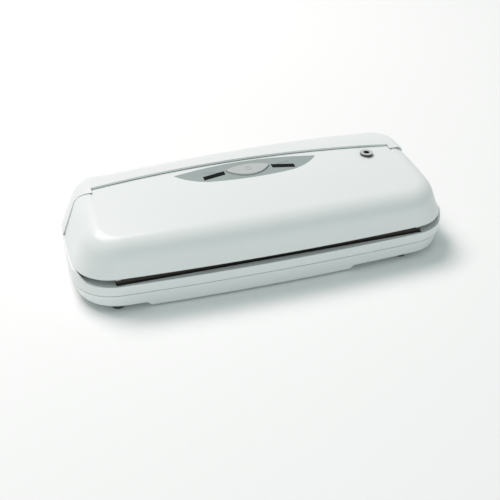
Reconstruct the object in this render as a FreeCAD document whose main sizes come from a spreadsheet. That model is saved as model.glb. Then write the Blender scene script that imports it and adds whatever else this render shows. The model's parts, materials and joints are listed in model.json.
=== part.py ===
"""Household bag vacuum sealer: tray, deck, rear cover, hinged lid and the works inside.

Millimetres. X runs along the length, Y to the back, Z up. The origin is on the table, under the middle.
"""
import FreeCAD
import Part
import Sketcher
import math
import os

# Driving dimensions: millimetres, degrees, or a plain slope
DIMENSIONS = {
    # Plan outline of the casing, and how far its ends and its front and back lie from the datum in the middle
    "overall_width": 384,
    "overall_depth": 146,
    "end_datum": 192,
    "side_datum": 73,
    "corner_radius": 42,
    "rear_corner_radius": 25,
    "front_bow_radius": 2600,
    "end_bow_radius": 620,
    "crown_radius": 5000,
    # Bottom tray
    "foot_height": 6,
    "foot_radius": 6.3,
    "foot_socket_depth": 1.2,
    "foot_left_x": 154,
    "foot_right_x": 137.5,
    "foot_y": 57,
    "plinth_drop": 4,
    "plinth_left": 124,
    "plinth_right": 77,
    "plinth_slope": 4,
    "tray_height": 12.2,
    "tray_wall": 3.8,
    "tray_floor": 2.4,
    "tray_side_lean": 5,
    "tray_front_lean": 2,
    "parting_gap": 0.6,
    "lip_height": 2.4,
    "lip_clearance": 0.3,
    # Deck frame
    "frame_height": 16.2,
    "frame_wall": 2.6,
    "rim_height": 6.4,
    "deck_thickness": 2.4,
    "mouth_depth": 21,
    "mouth_ramp": 14,
    # Lid and rear cover forms
    "lid_gap": 0.4,
    "lid_side_inset": 2,
    "lid_front_inset": 2.3,
    "lid_side_slope": 0.4,
    "lid_front_slope": 0.05,
    "lid_front_rise": 34.6,
    "lid_rear_rise": 48.1,
    "lid_sweep_radius": 1200,
    "lid_wall": 2.6,
    "lid_top_wall": 3.6,
    "lid_front_round": 20,
    "lid_end_round": 18,
    "cover_side_slope": 0.44,
    "cover_rear_slope": 0.06,
    "band_front_rise": 10.8,
    "band_rear_rise": 48.8,
    "band_sweep_radius": 250,
    "cover_wall": 2.4,
    "cover_top_wall": 2.2,
    "cover_round": 21,
    "cover_rear_round": 8,
    "crease_y": 42,
    "crease_radius": 1250,
    "crease_gap": 0.4,
    "recess_depth": 0.8,
    "recess_half_length": 160,
    "recess_front_y": 12,
    "recess_front_bulge": 13,
    "recess_corner": 12,
    # Lid hinge
    "hinge_y": 18,
    "hinge_rise": 35,
    "trim_x": 158,
    "trim_radius": 10.4,
    "trim_reach": 20,
    "heel_length": 14,
    "heel_rise": 2.8,
    "pin_radius": 2,
    "pin_head_radius": 3.2,
    "pin_head_length": 1.5,
    "pin_press": 0.03,
    "pin_running": 0.06,
    "arm_x": 150,
    "arm_width": 6,
    "arm_depth": 8,
    "arm_radius": 4,
    "bracket_gap": 1,
    "bracket_width": 6,
    "bracket_radius": 3.5,
    # Control panel, start button and windows
    "panel_half_length": 75,
    "panel_tip_y": 31,
    "panel_rear_bulge": 8,
    "panel_front_y": 8,
    "panel_flat_half": 45,
    "panel_front_bulge": 3.5,
    "panel_flank_radius": 60,
    "panel_thickness": 1.4,
    "panel_ledge": 1.5,
    "panel_clearance": 0.15,
    "button_half_length": 23,
    "button_end_y": 25.5,
    "button_rear_bulge": 5.5,
    "button_front_bulge": 13.2,
    "button_height": 1.6,
    "button_round": 0.7,
    "button_clearance": 0.35,
    "button_travel": 1,
    "button_flange": 1.2,
    "button_flange_thickness": 1,
    "window_inner_x": 25,
    "window_outer_x": 48,
    "window_inner_y": 22.7,
    "window_outer_y": 17.9,
    "window_depth": 6.2,
    "window_proud": 0.2,
    "window_clearance": 0.1,
    # Control board under the panel
    "board_rise": 35.4,
    "board_thickness": 1.6,
    "board_half_length": 60,
    "board_front_y": 11,
    "board_rear_y": 39.2,
    "board_post_radius": 2.2,
    "board_post_inset_x": 5,
    "board_post_inset_y": 3,
    "board_screw_radius": 1,
    "board_screw_head": 1.9,
    "board_screw_length": 4.4,
    "lamp_height": 3.5,
    "lamp_near_x": 27,
    "lamp_far_x": 46,
    "lamp_front_y": 15,
    "lamp_rear_y": 23.4,
    "tact_width": 6,
    "tact_height": 2.6,
    "tact_y": 20,
    "rest_gap": 0.3,
    # Hose port
    "port_x": 129.2,
    "port_y": 20.3,
    "port_radius": 6.6,
    "port_rise": 45.4,
    "port_bore": 3.2,
    "port_clearance": 0.08,
    "port_flange_radius": 9,
    "port_flange_rise": 35,
    "port_flange_thickness": 2,
    "port_elbow_radius": 5,
    "port_elbow_drop": 5,
    "port_floor": 1,
    "port_drop_bore": 2,
    "port_nipple_lift": 3,
    "tube_end_gap": 0.5,
    "nipple_radius": 2.4,
    "nipple_bore": 1.5,
    "nipple_length": 10,
    "tube_fit": 0.05,
    "tube_wall": 1.1,
    "tube_bend": 12,
    "chamber_nipple_y": 12,
    # Lid liner and what it carries
    "liner_rise": 5,
    "liner_thickness": 2.4,
    "liner_clearance": 0.3,
    "liner_step_y": 6,
    "liner_shelf_rise": 26.6,
    "liner_shelf_rear_y": 30,
    "post_radius": 3.5,
    "post_outer_x": 164,
    "post_front_y": 46,
    "post_rear_y": 0,
    "post_inner_x": 100,
    "post_inner_y": 20,
    "screw_radius": 1.5,
    "screw_clearance": 0.06,
    "screw_head_radius": 3,
    "screw_head_height": 1.6,
    "lid_screw_length": 9,
    # Vacuum chamber, seals and heater
    "drip_half_length": 140,
    "drip_front_y": 40,
    "drip_rear_y": 6,
    "drip_depth": 11.6,
    "drip_wall": 1.2,
    "drip_clearance": 0.4,
    "drip_flange": 4,
    "drip_flange_thickness": 1.2,
    "drip_corner": 3,
    "suction_x": 88,
    "suction_drop": 7.6,
    "suction_radius": 3.2,
    "suction_bore": 2,
    "suction_length": 8,
    "suction_tube_wall": 1.35,
    "gasket_width": 6,
    "gasket_margin": 1.5,
    "gasket_height": 5.6,
    "gasket_corner": 10,
    "seal_gap": 0.4,
    "heater_half_length": 155,
    "heater_y": 59.5,
    "heater_width": 7,
    "heater_height": 3,
    "ribbon_width": 2.4,
    "ribbon_thickness": 0.3,
    "tape_thickness": 0.25,
    "tape_apron": 3.2,
    "clamp_length": 5,
    "clamp_height": 1.4,
    "strip_width": 6,
    "strip_gap": 0.5,
    "stop_x": 156,
    "stop_length": 14,
    "stop_front_y": 52,
    "stop_depth": 12,
    "stop_height": 6.2,
    # Lid switches
    "switch_x": 163,
    "switch_y": 35,
    "switch_width": 6.5,
    "switch_length": 20,
    "switch_height": 9.6,
    "plunger_radius": 2.4,
    "plunger_running": 0.06,
    "plunger_rise": 5.4,
    "plunger_flange_radius": 3.6,
    "plunger_flange_height": 1.5,
    "plunger_travel": 1.5,
    "peg_radius": 2.2,
    # Bay behind the chamber
    "bay_front_y": 10,
    "bay_rear_y": 46,
    "bay_half_length": 165.2,
    "bay_roof_clearance": 0.4,
    "bay_wall": 2.2,
    "bay_clearance": 0.3,
    "bay_opening_margin": 2.2,
    "bay_opening_rear_y": 60,
    "tab_length": 8,
    "tab_width": 8,
    "tab_front_y": 18,
    "tab_rear_y": 40,
    "bay_screw_length": 10,
    # Casing screws
    "boss_radius": 5,
    "boss_meeting": 0.3,
    "boss_side_x": 172,
    "boss_side_y": 20,
    "boss_front_x": 60,
    "boss_front_y": 62,
    "boss_rear_x": 167,
    "boss_rear_y": 53.3,
    "boss_rear_rise": 14,
    "boss_rib": 3,
    "head_recess": 2,
    "head_clearance": 0.4,
    "short_screw_length": 16,
    "long_screw_length": 32,
    # Cord gland
    "gland_x": 120,
    "gland_seat_y": 68.4,
    "gland_drop": 8,
    "gland_flange_radius": 6,
    "gland_flange_length": 1.8,
    "gland_radius": 4.9,
    "gland_length": 7.6,
    "gland_bore": 3.4,
    "gland_clearance": 0.1,
    "gland_pad_half": 8,
    "gland_pad_thickness": 4.6,
    # Transformer
    "core_x": 85,
    "core_y": 40,
    "core_width": 54,
    "core_height": 42,
    "core_depth": 18,
    "core_leg": 9,
    "winding_clearance": 0.2,
    "winding_overhang": 8,
    # Power board
    "power_left_x": 50,
    "power_right_x": 10,
    "power_front_y": 20,
    "power_rear_y": 62,
    "power_lift": 7.6,
    "power_post_radius": 3,
    "power_post_inset": 4,
    "power_screw_length": 6,
    "capacitor_x": 40,
    "capacitor_y": 30,
    "capacitor_pitch": 12,
    "capacitor_radius": 5,
    "capacitor_height": 14,
    "relay_x": 12,
    "relay_y": 32,
    "relay_length": 19,
    "relay_width": 15,
    "relay_height": 15,
    "terminal_x": 40,
    "terminal_y": 50,
    "terminal_length": 20,
    "terminal_width": 8,
    "terminal_height": 10,
    # Pump
    "pump_x": 22,
    "pump_y": 42,
    "pump_lift": 19.6,
    "motor_radius": 14,
    "motor_length": 37,
    "shaft_radius": 1.5,
    "shaft_running": 0.06,
    "shaft_socket": 12,
    "shaft_length": 25,
    "eccentric_radius": 4.5,
    "eccentric_throw": 1.5,
    "eccentric_width": 5,
    "mount_thickness": 2,
    "mount_overhang": 3,
    "head_half": 15,
    "head_length": 19,
    "head_cavity": 8,
    "diaphragm_thickness": 1.2,
    "cap_length": 13,
    "cap_wall": 3,
    # Plinth pocket and its vents
    "pocket_inset": 6,
    "pocket_half_depth": 64,
    "vent_x": 60,
    "vent_pitch": 9,
    "vent_width": 3,
    "vent_front_y": 50,
    "vent_rear_y": 22,
}


class Size:
    """A number together with the formula that ties it to the sheet."""

    def __init__(self, number, formula):
        self.number = number
        self.formula = formula

    def join(self, sign, other, number):
        return Size(number, f"({self.formula} {sign} {size(other).formula})")

    def __add__(self, other):
        return self.join("+", other, self.number + size(other).number)

    def __sub__(self, other):
        return self.join("-", other, self.number - size(other).number)

    def __mul__(self, other):
        return self.join("*", other, self.number * size(other).number)

    def __truediv__(self, other):
        return self.join("/", other, self.number / size(other).number)

    def __radd__(self, other):
        return size(other) + self

    def __rsub__(self, other):
        return size(other) - self

    def __rmul__(self, other):
        return size(other) * self

    def __neg__(self):
        return size(0) - self

    def tangent(self):
        return Size(math.tan(math.radians(self.number)), f"tan({self.formula})")


def size(value):
    """Turn a plain number into a Size, and leave a Size as it is."""
    if isinstance(value, Size):
        return value
    return Size(float(value), f"({float(value)})")


def bulge_radius(half_chord, bulge):
    """Radius of the arc that rises by a bulge over a chord."""
    return (half_chord * half_chord + bulge * bulge) / (2 * bulge)


doc = FreeCAD.newDocument("vacuum_sealer")
sheet = doc.addObject("Spreadsheet::Sheet", "sizes")
for row, (alias, number) in enumerate(DIMENSIONS.items(), start=1):
    sheet.set(f"A{row}", alias)
    sheet.set(f"B{row}", str(number))
    sheet.setAlias(f"B{row}", alias)
doc.recompute()


class Sizes:
    """Every driving dimension by its name in the sheet."""


S = Sizes()
for alias, number in DIMENSIONS.items():
    setattr(S, alias, Size(float(number), f"sizes.{alias}"))

# Places that keep their distance from the ends, or from the front or the back, when the casing's size changes
HALF_WIDTH = S.overall_width / 2
HALF_DEPTH = S.overall_depth / 2
END_SHIFT = HALF_WIDTH - S.end_datum
SIDE_SHIFT = HALF_DEPTH - S.side_datum
END_PLACES = (
    "foot_left_x", "foot_right_x", "recess_half_length", "trim_x", "arm_x", "port_x", "post_outer_x",
    "post_inner_x", "drip_half_length", "heater_half_length", "stop_x", "switch_x", "bay_half_length",
    "boss_side_x", "boss_rear_x", "gland_x",
)
FRONT_PLACES = (
    "foot_y", "pocket_half_depth", "post_front_y", "drip_front_y", "heater_y", "stop_front_y", "switch_y",
    "boss_side_y", "boss_front_y", "vent_front_y", "vent_rear_y",
)
BACK_PLACES = (
    "crease_y", "hinge_y", "panel_tip_y", "panel_front_y", "button_end_y", "window_inner_y", "window_outer_y",
    "board_front_y", "board_rear_y", "lamp_front_y", "lamp_rear_y", "tact_y", "port_y", "liner_step_y",
    "liner_shelf_rear_y", "post_rear_y", "post_inner_y", "bay_front_y", "bay_rear_y", "bay_opening_rear_y",
    "tab_front_y", "tab_rear_y", "boss_rear_y", "gland_seat_y", "core_y", "power_front_y", "power_rear_y",
    "capacitor_y", "relay_y", "terminal_y", "pump_y",
)
# These count forward from the middle and still follow the back
BACK_PLACES_AHEAD = ("drip_rear_y", "chamber_nipple_y", "recess_front_y")
for alias in END_PLACES:
    setattr(S, alias, getattr(S, alias) + END_SHIFT)
for alias in FRONT_PLACES + BACK_PLACES:
    setattr(S, alias, getattr(S, alias) + SIDE_SHIFT)
for alias in BACK_PLACES_AHEAD:
    setattr(S, alias, getattr(S, alias) - SIDE_SHIFT)

# Levels that several pieces share
Z_PLINTH = S.foot_height - S.plinth_drop
Z_FLOOR = S.foot_height + S.tray_floor
Z_DEEP_FLOOR = Z_PLINTH + S.tray_floor
Z_PARTING = S.foot_height + S.tray_height
Z_FRAME = Z_PARTING + S.parting_gap
Z_RIM = Z_FRAME + S.frame_height
Z_DECK = Z_RIM - S.rim_height
Z_DECK_UNDER = Z_DECK - S.deck_thickness
Z_LID = Z_RIM + S.lid_gap
Z_HINGE = Z_RIM + S.hinge_rise
Z_FORM_TOP = Z_RIM + S.band_rear_rise + S.cover_round
Z_LINER = Z_RIM + S.liner_rise
Z_LINER_TOP = Z_LINER + S.liner_thickness
Z_SHELF = Z_RIM + S.liner_shelf_rise
Z_SHELF_TOP = Z_SHELF + S.liner_thickness
Z_BOARD = Z_RIM + S.board_rise
Z_BOARD_TOP = Z_BOARD + S.board_thickness
Z_PORT_FLANGE = Z_RIM + S.port_flange_rise
Z_PORT_SEAT = Z_PORT_FLANGE + S.port_flange_thickness
Z_PORT_NIPPLE = Z_PORT_FLANGE - S.port_elbow_drop + S.port_nipple_lift
Z_BAY_ROOF = Z_DEEP_FLOOR + S.core_height + S.bay_roof_clearance + S.bay_wall
Z_SCREW_SEAT = S.foot_height + S.head_recess
Z_BOSS_MEETING = Z_PARTING + S.boss_meeting
Z_SUCTION = Z_DECK - S.suction_drop
Z_PUMP = Z_DEEP_FLOOR + S.pump_lift
Z_POWER = Z_DEEP_FLOOR + S.power_lift
Z_GLAND = Z_RIM - S.gland_drop
TUBE_INNER = S.nipple_radius + S.tube_fit
TUBE_OUTER = TUBE_INNER + S.tube_wall
SCREW_HOLE = S.screw_radius + S.screw_clearance
BOARD_SCREW_HOLE = S.board_screw_radius + S.screw_clearance
LID_POSTS = [
    (S.post_outer_x, -S.post_front_y, Z_LINER),
    (S.post_outer_x, S.post_rear_y, Z_LINER),
    (S.post_inner_x, S.post_inner_y, Z_SHELF),
]
CASING_BOSSES = [
    ("side", S.boss_side_x, -S.boss_side_y),
    ("front", S.boss_front_x, -S.boss_front_y),
    ("rear", S.boss_rear_x, S.boss_rear_y),
]
FOOT_LENGTH = S.foot_height + S.foot_socket_depth
VENT_COUNT = 7
SIDES = {"left": -1, "right": 1}


# Document helpers

def bind(thing, path, value):
    """Tie one property of a document object to the sheet."""
    thing.setExpression(path, size(value).formula)


def block(name, low, high):
    """A block between two opposite corners."""
    made = doc.addObject("Part::Box", name)
    for axis, side, start, end in zip("xyz", ("Length", "Width", "Height"), low, high):
        bind(made, side, size(end) - size(start))
        bind(made, f"Placement.Base.{axis}", start)
    return made


TURNS = {
    "x": FreeCAD.Rotation(FreeCAD.Vector(0, 1, 0), 90),
    "y": FreeCAD.Rotation(FreeCAD.Vector(1, 0, 0), -90),
    "z": FreeCAD.Rotation(),
}


def rod(name, radius, start, length, along="z"):
    """A cylinder that starts at a point and runs along one axis."""
    made = doc.addObject("Part::Cylinder", name)
    made.Placement = FreeCAD.Placement(FreeCAD.Vector(), TURNS[along])
    bind(made, "Radius", radius)
    bind(made, "Height", length)
    for axis, value in zip("xyz", start):
        bind(made, f"Placement.Base.{axis}", value)
    return made


def fuse(name, *pieces):
    """One solid, or one group, of several pieces."""
    made = doc.addObject("Part::MultiFuse", name)
    made.Shapes = list(pieces)
    return made


def cut(name, base, *tools):
    """A base with one or more tools taken away."""
    made = doc.addObject("Part::Cut", name)
    made.Base = base
    made.Tool = tools[0] if len(tools) == 1 else fuse(f"{name}_tools", *tools)
    return made


def common(name, base, tool):
    """What two pieces share."""
    made = doc.addObject("Part::Common", name)
    made.Base = base
    made.Tool = tool
    return made


def elbow(name, bend_radius, radius, centre):
    """A quarter of a ring that turns from heading back to heading down, in a plane across X."""
    made = doc.addObject("Part::Torus", name)
    over = FreeCAD.Rotation(FreeCAD.Vector(1, 0, 0), 180)
    made.Placement = FreeCAD.Placement(FreeCAD.Vector(), over.multiply(TURNS["x"]))
    made.Angle3 = 90
    bind(made, "Radius1", bend_radius)
    bind(made, "Radius2", radius)
    for axis, value in zip("xyz", centre):
        bind(made, f"Placement.Base.{axis}", value)
    return made


def across(side, near, far):
    """The low and high ends of a span on one side of the middle."""
    if side > 0:
        return size(near), size(far)
    return -size(far), -size(near)


def sketch_on(body, name, plane, height=None):
    """An empty sketch on one of a body's own planes, moved out along its normal."""
    made = body.newObject("Sketcher::SketchObject", name)
    support = next(item for item in body.Origin.OriginFeatures if item.Role == plane)
    made.AttachmentSupport = [(support, "")]
    made.MapMode = "FlatFace"
    if height is not None:
        bind(made, "AttachmentOffset.Base.z", height)
    return made


def constrain(sketch, kind, *links, value=None):
    """Add a constraint and, if it has a value, tie it to the sheet."""
    if value is None:
        return sketch.addConstraint(Sketcher.Constraint(kind, *links))
    index = sketch.addConstraint(Sketcher.Constraint(kind, *links, size(value).number))
    sketch.setExpression(f"Constraints[{index}]", size(value).formula)
    return index


def draw_outline(sketch, corners):
    """Draw a closed outline, counterclockwise.

    A corner is (x, y), or (x, y, radius) where the side to the next corner is an arc. A positive radius
    swells outwards and a negative one is hollow.
    """
    points = [FreeCAD.Vector(size(c[0]).number, size(c[1]).number, 0) for c in corners]
    ends = []
    for place, corner in enumerate(corners):
        start = points[place]
        finish = points[(place + 1) % len(points)]
        if len(corner) == 2:
            index = sketch.addGeometry(Part.LineSegment(start, finish))
            ends.append((index, 1, 2))
            continue
        radius = size(corner[2]).number
        chord = finish - start
        rise = math.sqrt(radius * radius - chord.Length * chord.Length / 4)
        left = FreeCAD.Vector(-chord.y, chord.x, 0).normalize()
        centre = (start + finish) * 0.5 + left * math.copysign(rise, radius)
        first, last = (start, finish) if radius > 0 else (finish, start)
        angles = [math.atan2(p.y - centre.y, p.x - centre.x) for p in (first, last)]
        circle = Part.Circle(centre, FreeCAD.Vector(0, 0, 1), abs(radius))
        index = sketch.addGeometry(Part.ArcOfCircle(circle, *angles))
        ends.append((index, 1, 2) if radius > 0 else (index, 2, 1))
    for place, corner in enumerate(corners):
        index, start, finish = ends[place]
        following = ends[(place + 1) % len(ends)]
        constrain(sketch, "Coincident", index, finish, following[0], following[1])
        constrain(sketch, "DistanceX", -1, 1, index, start, value=corner[0])
        constrain(sketch, "DistanceY", -1, 1, index, start, value=corner[1])
        if len(corner) == 3:
            positive = corner[2] if size(corner[2]).number > 0 else -corner[2]
            constrain(sketch, "Radius", index, value=positive)


def corner_place(front_reach, end_reach, radius):
    """The centre of the right front corner's arc, and how far round the front and the end reach to it."""
    low = FreeCAD.Vector(0, front_reach, 0)
    side = FreeCAD.Vector(-end_reach, 0, 0)
    # The centre is where circles about the two bow centres cross
    span = (side - low).Length
    first = S.front_bow_radius.number - radius
    second = S.end_bow_radius.number - radius
    along = (first * first - second * second + span * span) / (2 * span)
    aside = math.sqrt(first * first - along * along)
    ahead = (side - low).normalize()
    turned = FreeCAD.Vector(-ahead.y, ahead.x, 0)
    middle = low + ahead * along
    centre = max((middle + turned * aside, middle - turned * aside), key=lambda spot: spot.x - spot.y)
    return centre, math.atan2(centre.x, front_reach - centre.y), math.atan2(-centre.y, centre.x + end_reach)


def draw_casing_outline(sketch, half_width, half_depth, corner):
    """Draw the casing's bowed plan outline: four shallow arcs joined by four tangent corner arcs.

    The rear corners are tighter than the front ones by the same amount at every level.
    """
    front_reach = S.front_bow_radius - half_depth
    end_reach = S.end_bow_radius - half_width
    rear_corner = corner - S.corner_radius + S.rear_corner_radius
    front, end = S.front_bow_radius.number, S.end_bow_radius.number
    reaches = front_reach.number, end_reach.number
    low = FreeCAD.Vector(0, front_reach.number, 0)
    side = FreeCAD.Vector(-end_reach.number, 0, 0)
    fore, front_turn, end_turn = corner_place(*reaches, corner.number)
    aft, rear_turn, rear_end_turn = corner_place(*reaches, rear_corner.number)
    quarter = math.pi / 2
    arcs = [
        (low, front, -quarter - front_turn, -quarter + front_turn),
        (fore, corner.number, -quarter + front_turn, -end_turn),
        (side, end, -end_turn, rear_end_turn),
        (FreeCAD.Vector(aft.x, -aft.y, 0), rear_corner.number, rear_end_turn, quarter - rear_turn),
        (-low, front, quarter - rear_turn, quarter + rear_turn),
        (-aft, rear_corner.number, quarter + rear_turn, math.pi - rear_end_turn),
        (-side, end, math.pi - rear_end_turn, math.pi + end_turn),
        (FreeCAD.Vector(-fore.x, fore.y, 0), corner.number, math.pi + end_turn, 3 * quarter - front_turn),
    ]
    for middle, radius, start, finish in arcs:
        circle = Part.Circle(middle, FreeCAD.Vector(0, 0, 1), radius)
        sketch.addGeometry(Part.ArcOfCircle(circle, start, finish))
    for index in range(8):
        constrain(sketch, "Tangent", index, 2, (index + 1) % 8, 1)
    for index, reach in ((0, front_reach), (4, -front_reach)):
        constrain(sketch, "DistanceX", -1, 1, index, 3, value=0)
        constrain(sketch, "DistanceY", -1, 1, index, 3, value=reach)
        constrain(sketch, "Radius", index, value=S.front_bow_radius)
    for index, reach in ((2, -end_reach), (6, end_reach)):
        constrain(sketch, "DistanceX", -1, 1, index, 3, value=reach)
        constrain(sketch, "DistanceY", -1, 1, index, 3, value=0)
        constrain(sketch, "Radius", index, value=S.end_bow_radius)
    for index, radius in ((1, corner), (3, rear_corner), (5, rear_corner), (7, corner)):
        constrain(sketch, "Radius", index, value=radius)


def casing_loft(name, *sections):
    """A body with straight sides between casing outlines: (height, half width, half depth, corner)."""
    body = doc.addObject("PartDesign::Body", name)
    sketches = []
    for place, (height, half_width, half_depth, corner) in enumerate(sections):
        sketch = sketch_on(body, f"{name}_outline_{place}", "XY_Plane", height)
        draw_casing_outline(sketch, half_width, half_depth, corner)
        sketches.append(sketch)
    loft = body.newObject("PartDesign::AdditiveLoft", f"{name}_loft")
    loft.Profile = sketches[0]
    loft.Sections = sketches[1:]
    loft.Ruled = True
    return body


def slab(name, corners, low, high, plane="XY_Plane"):
    """A body that is one outline padded between two levels along its plane's normal."""
    body = doc.addObject("PartDesign::Body", name)
    sketch = sketch_on(body, f"{name}_outline", plane, low)
    draw_outline(sketch, corners)
    pad = body.newObject("PartDesign::Pad", f"{name}_pad")
    pad.Profile = sketch
    bind(pad, "Length", size(high) - size(low))
    return body


def crowned(name, front_rise, rear_rise, sweep_radius, drop):
    """A body under a top that is arched from front to back and crowned along the length.

    Its side view is turned about a line along Y, far below the casing.
    """
    body = doc.addObject("PartDesign::Body", name)
    sketch = sketch_on(body, f"{name}_side", "YZ_Plane")
    bind(sketch, "AttachmentOffset.Base.y", -S.crown_radius)
    bottom = S.crown_radius + Z_PLINTH
    base = S.crown_radius + Z_RIM - drop
    draw_outline(sketch, [
        (-HALF_DEPTH, bottom),
        (HALF_DEPTH, bottom),
        (HALF_DEPTH, base + rear_rise, sweep_radius),
        (-HALF_DEPTH, base + front_rise),
    ])
    turn = body.newObject("PartDesign::Revolution", f"{name}_turn")
    turn.Profile = sketch
    turn.ReferenceAxis = (sketch, ["H_Axis"])
    turn.Midplane = True
    bind(turn, "Angle", S.overall_width / S.crown_radius * math.degrees(1.05))
    return body


def round_top(name, form, front_radius, end_radius, rear_radius):
    """Round the edge all round a form's top, with one radius each at the front, the ends and the rear."""
    doc.recompute()
    top = max(form.Shape.Faces, key=lambda face: face.CenterOfMass.z)
    far_line = 0.7 * HALF_DEPTH.number

    def radius_at(point):
        if point.y < -far_line:
            return front_radius.number
        return rear_radius.number if point.y > far_line else end_radius.number

    edges = []
    for edge in top.Edges:
        place = next(i for i, e in enumerate(form.Shape.Edges, start=1) if e.isSame(edge))
        ends = [form.Shape.Edges[place - 1].valueAt(p) for p in edge.ParameterRange]
        radii = [radius_at(point) for point in ends]
        if edge.Orientation == "Reversed":
            radii.reverse()
        edges.append((place, radii[0], radii[1]))
    made = doc.addObject("Part::Fillet", name)
    made.Base = form
    made.Edges = edges
    return made


# Forms of the lid and the rear cover

def lid_form(name, inset, drop, bottom, rounded=True):
    """The lid's closed outer form, drawn in by a wall and lowered from the top."""
    def outline(height):
        rise = height - Z_RIM
        return (
            height,
            HALF_WIDTH - S.lid_side_inset - rise * S.lid_side_slope - inset,
            HALF_DEPTH - S.lid_front_inset - rise * S.lid_front_slope - inset,
            S.corner_radius - S.lid_front_inset - inset,
        )

    walls = casing_loft(f"{name}_walls", outline(bottom), outline(Z_FORM_TOP))
    top = crowned(f"{name}_top", S.lid_front_rise, S.lid_rear_rise, S.lid_sweep_radius, drop)
    made = common(f"{name}_form", walls, top)
    if not rounded:
        return made
    end_radius = S.lid_end_round - drop
    return round_top(name, made, S.lid_front_round - drop, end_radius, end_radius)


def cover_form(name, inset, drop, bottom):
    """The rear cover's closed outer form, drawn in by a wall and lowered from the top."""
    def outline(height):
        rise = height - Z_RIM
        return (
            height,
            HALF_WIDTH - rise * S.cover_side_slope - inset,
            HALF_DEPTH - rise * S.cover_rear_slope - inset,
            S.corner_radius - inset,
        )

    walls = casing_loft(f"{name}_walls", outline(bottom), outline(Z_FORM_TOP))
    top = crowned(f"{name}_top", S.band_front_rise, S.band_rear_rise, S.band_sweep_radius, drop)
    made = common(f"{name}_form", walls, top)
    end_radius = S.cover_round - drop
    return round_top(name, made, end_radius, end_radius, S.cover_rear_round - drop)


def ahead_of_crease(name, gap):
    """Everything in front of the bowed line where the lid meets the rear cover."""
    bulge = HALF_WIDTH * HALF_WIDTH / (2 * S.crease_radius)
    end_y = S.crease_y - bulge - gap
    return slab(name, [
        (-HALF_WIDTH, -S.overall_depth),
        (HALF_WIDTH, -S.overall_depth),
        (HALF_WIDTH, end_y, bulge_radius(HALF_WIDTH, bulge)),
        (-HALF_WIDTH, end_y),
    ], Z_PLINTH, Z_FORM_TOP + S.cover_round)


def lid_top(name, drop):
    """Everything under the lid's top, lowered by a drop."""
    return crowned(name, S.lid_front_rise, S.lid_rear_rise, S.lid_sweep_radius, drop)


def above_lid_top(name, corners, drop):
    """What stands on an outline above the lid's lowered top."""
    column = slab(f"{name}_column", corners, Z_HINGE, Z_FORM_TOP)
    return cut(name, column, lid_top(f"{name}_floor", drop))


def under_lid_top(name, corners, low, drop):
    """What stands on an outline from a level up to the lid's lowered top."""
    column = slab(f"{name}_column", corners, low, Z_FORM_TOP)
    return common(name, column, lid_top(f"{name}_ceiling", drop))


# Outlines seen from above

def rounded_outline(low_x, low_y, high_x, high_y, corner):
    """A rectangle with rounded corners."""
    return [
        (low_x + corner, low_y),
        (high_x - corner, low_y, corner),
        (high_x, low_y + corner),
        (high_x, high_y - corner, corner),
        (high_x - corner, high_y),
        (low_x + corner, high_y, corner),
        (low_x, high_y - corner),
        (low_x, low_y + corner, corner),
    ]


def recess_outline():
    """The lens-shaped recess in the lid's top, which runs out at the back."""
    flat = S.recess_half_length - S.recess_corner
    end_y = S.recess_front_bulge - S.recess_front_y
    return [
        (-flat, end_y, bulge_radius(flat, S.recess_front_bulge)),
        (flat, end_y, S.recess_corner),
        (S.recess_half_length, end_y + S.recess_corner),
        (S.recess_half_length, HALF_DEPTH),
        (-S.recess_half_length, HALF_DEPTH),
        (-S.recess_half_length, end_y + S.recess_corner, S.recess_corner),
    ]


def panel_outline(inset):
    """The control panel's almond outline, drawn in all round. Its thin tips draw in faster."""
    tip = S.panel_half_length - 3 * inset
    flat = S.panel_flat_half - inset
    front_y = S.panel_front_y + S.panel_front_bulge + inset
    return [
        (-flat, front_y, bulge_radius(flat, S.panel_front_bulge)),
        (flat, front_y, S.panel_flank_radius),
        (tip, S.panel_tip_y, bulge_radius(tip, S.panel_rear_bulge - inset)),
        (-tip, S.panel_tip_y, S.panel_flank_radius),
    ]


def button_outline(growth):
    """The start button's outline, two arcs, let out all round."""
    half = S.button_half_length + growth
    return [
        (-half, S.button_end_y, bulge_radius(half, S.button_front_bulge + growth)),
        (half, S.button_end_y, bulge_radius(half, S.button_rear_bulge + growth)),
    ]


def window_outline(side, growth):
    """A slanted indicator window, let out all round."""
    half = S.window_depth / 2 + growth
    near = (S.window_inner_x - growth, S.window_inner_y)
    far = (S.window_outer_x + growth, S.window_outer_y)
    first, second = (near, far) if side > 0 else (far, near)
    return [
        (side * first[0], first[1] - half),
        (side * second[0], second[1] - half),
        (side * second[0], second[1] + half),
        (side * first[0], first[1] + half),
    ]


def end_trim(name, side, gap):
    """The space behind one end of the hinge that the lid leaves to the cover, drawn in by a gap."""
    low, high = across(side, S.trim_x + gap, HALF_WIDTH)
    radius = S.trim_radius + gap
    rear_y = S.hinge_y + S.trim_radius + S.trim_reach
    return slab(name, [
        (S.hinge_y + radius, Z_HINGE + gap),
        (rear_y, Z_HINGE + gap),
        (rear_y, Z_HINGE + S.trim_reach),
        (S.hinge_y, Z_HINGE + S.trim_reach),
        (S.hinge_y, Z_HINGE + radius, -radius),
    ], low, high, "YZ_Plane")


# Lid

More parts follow.
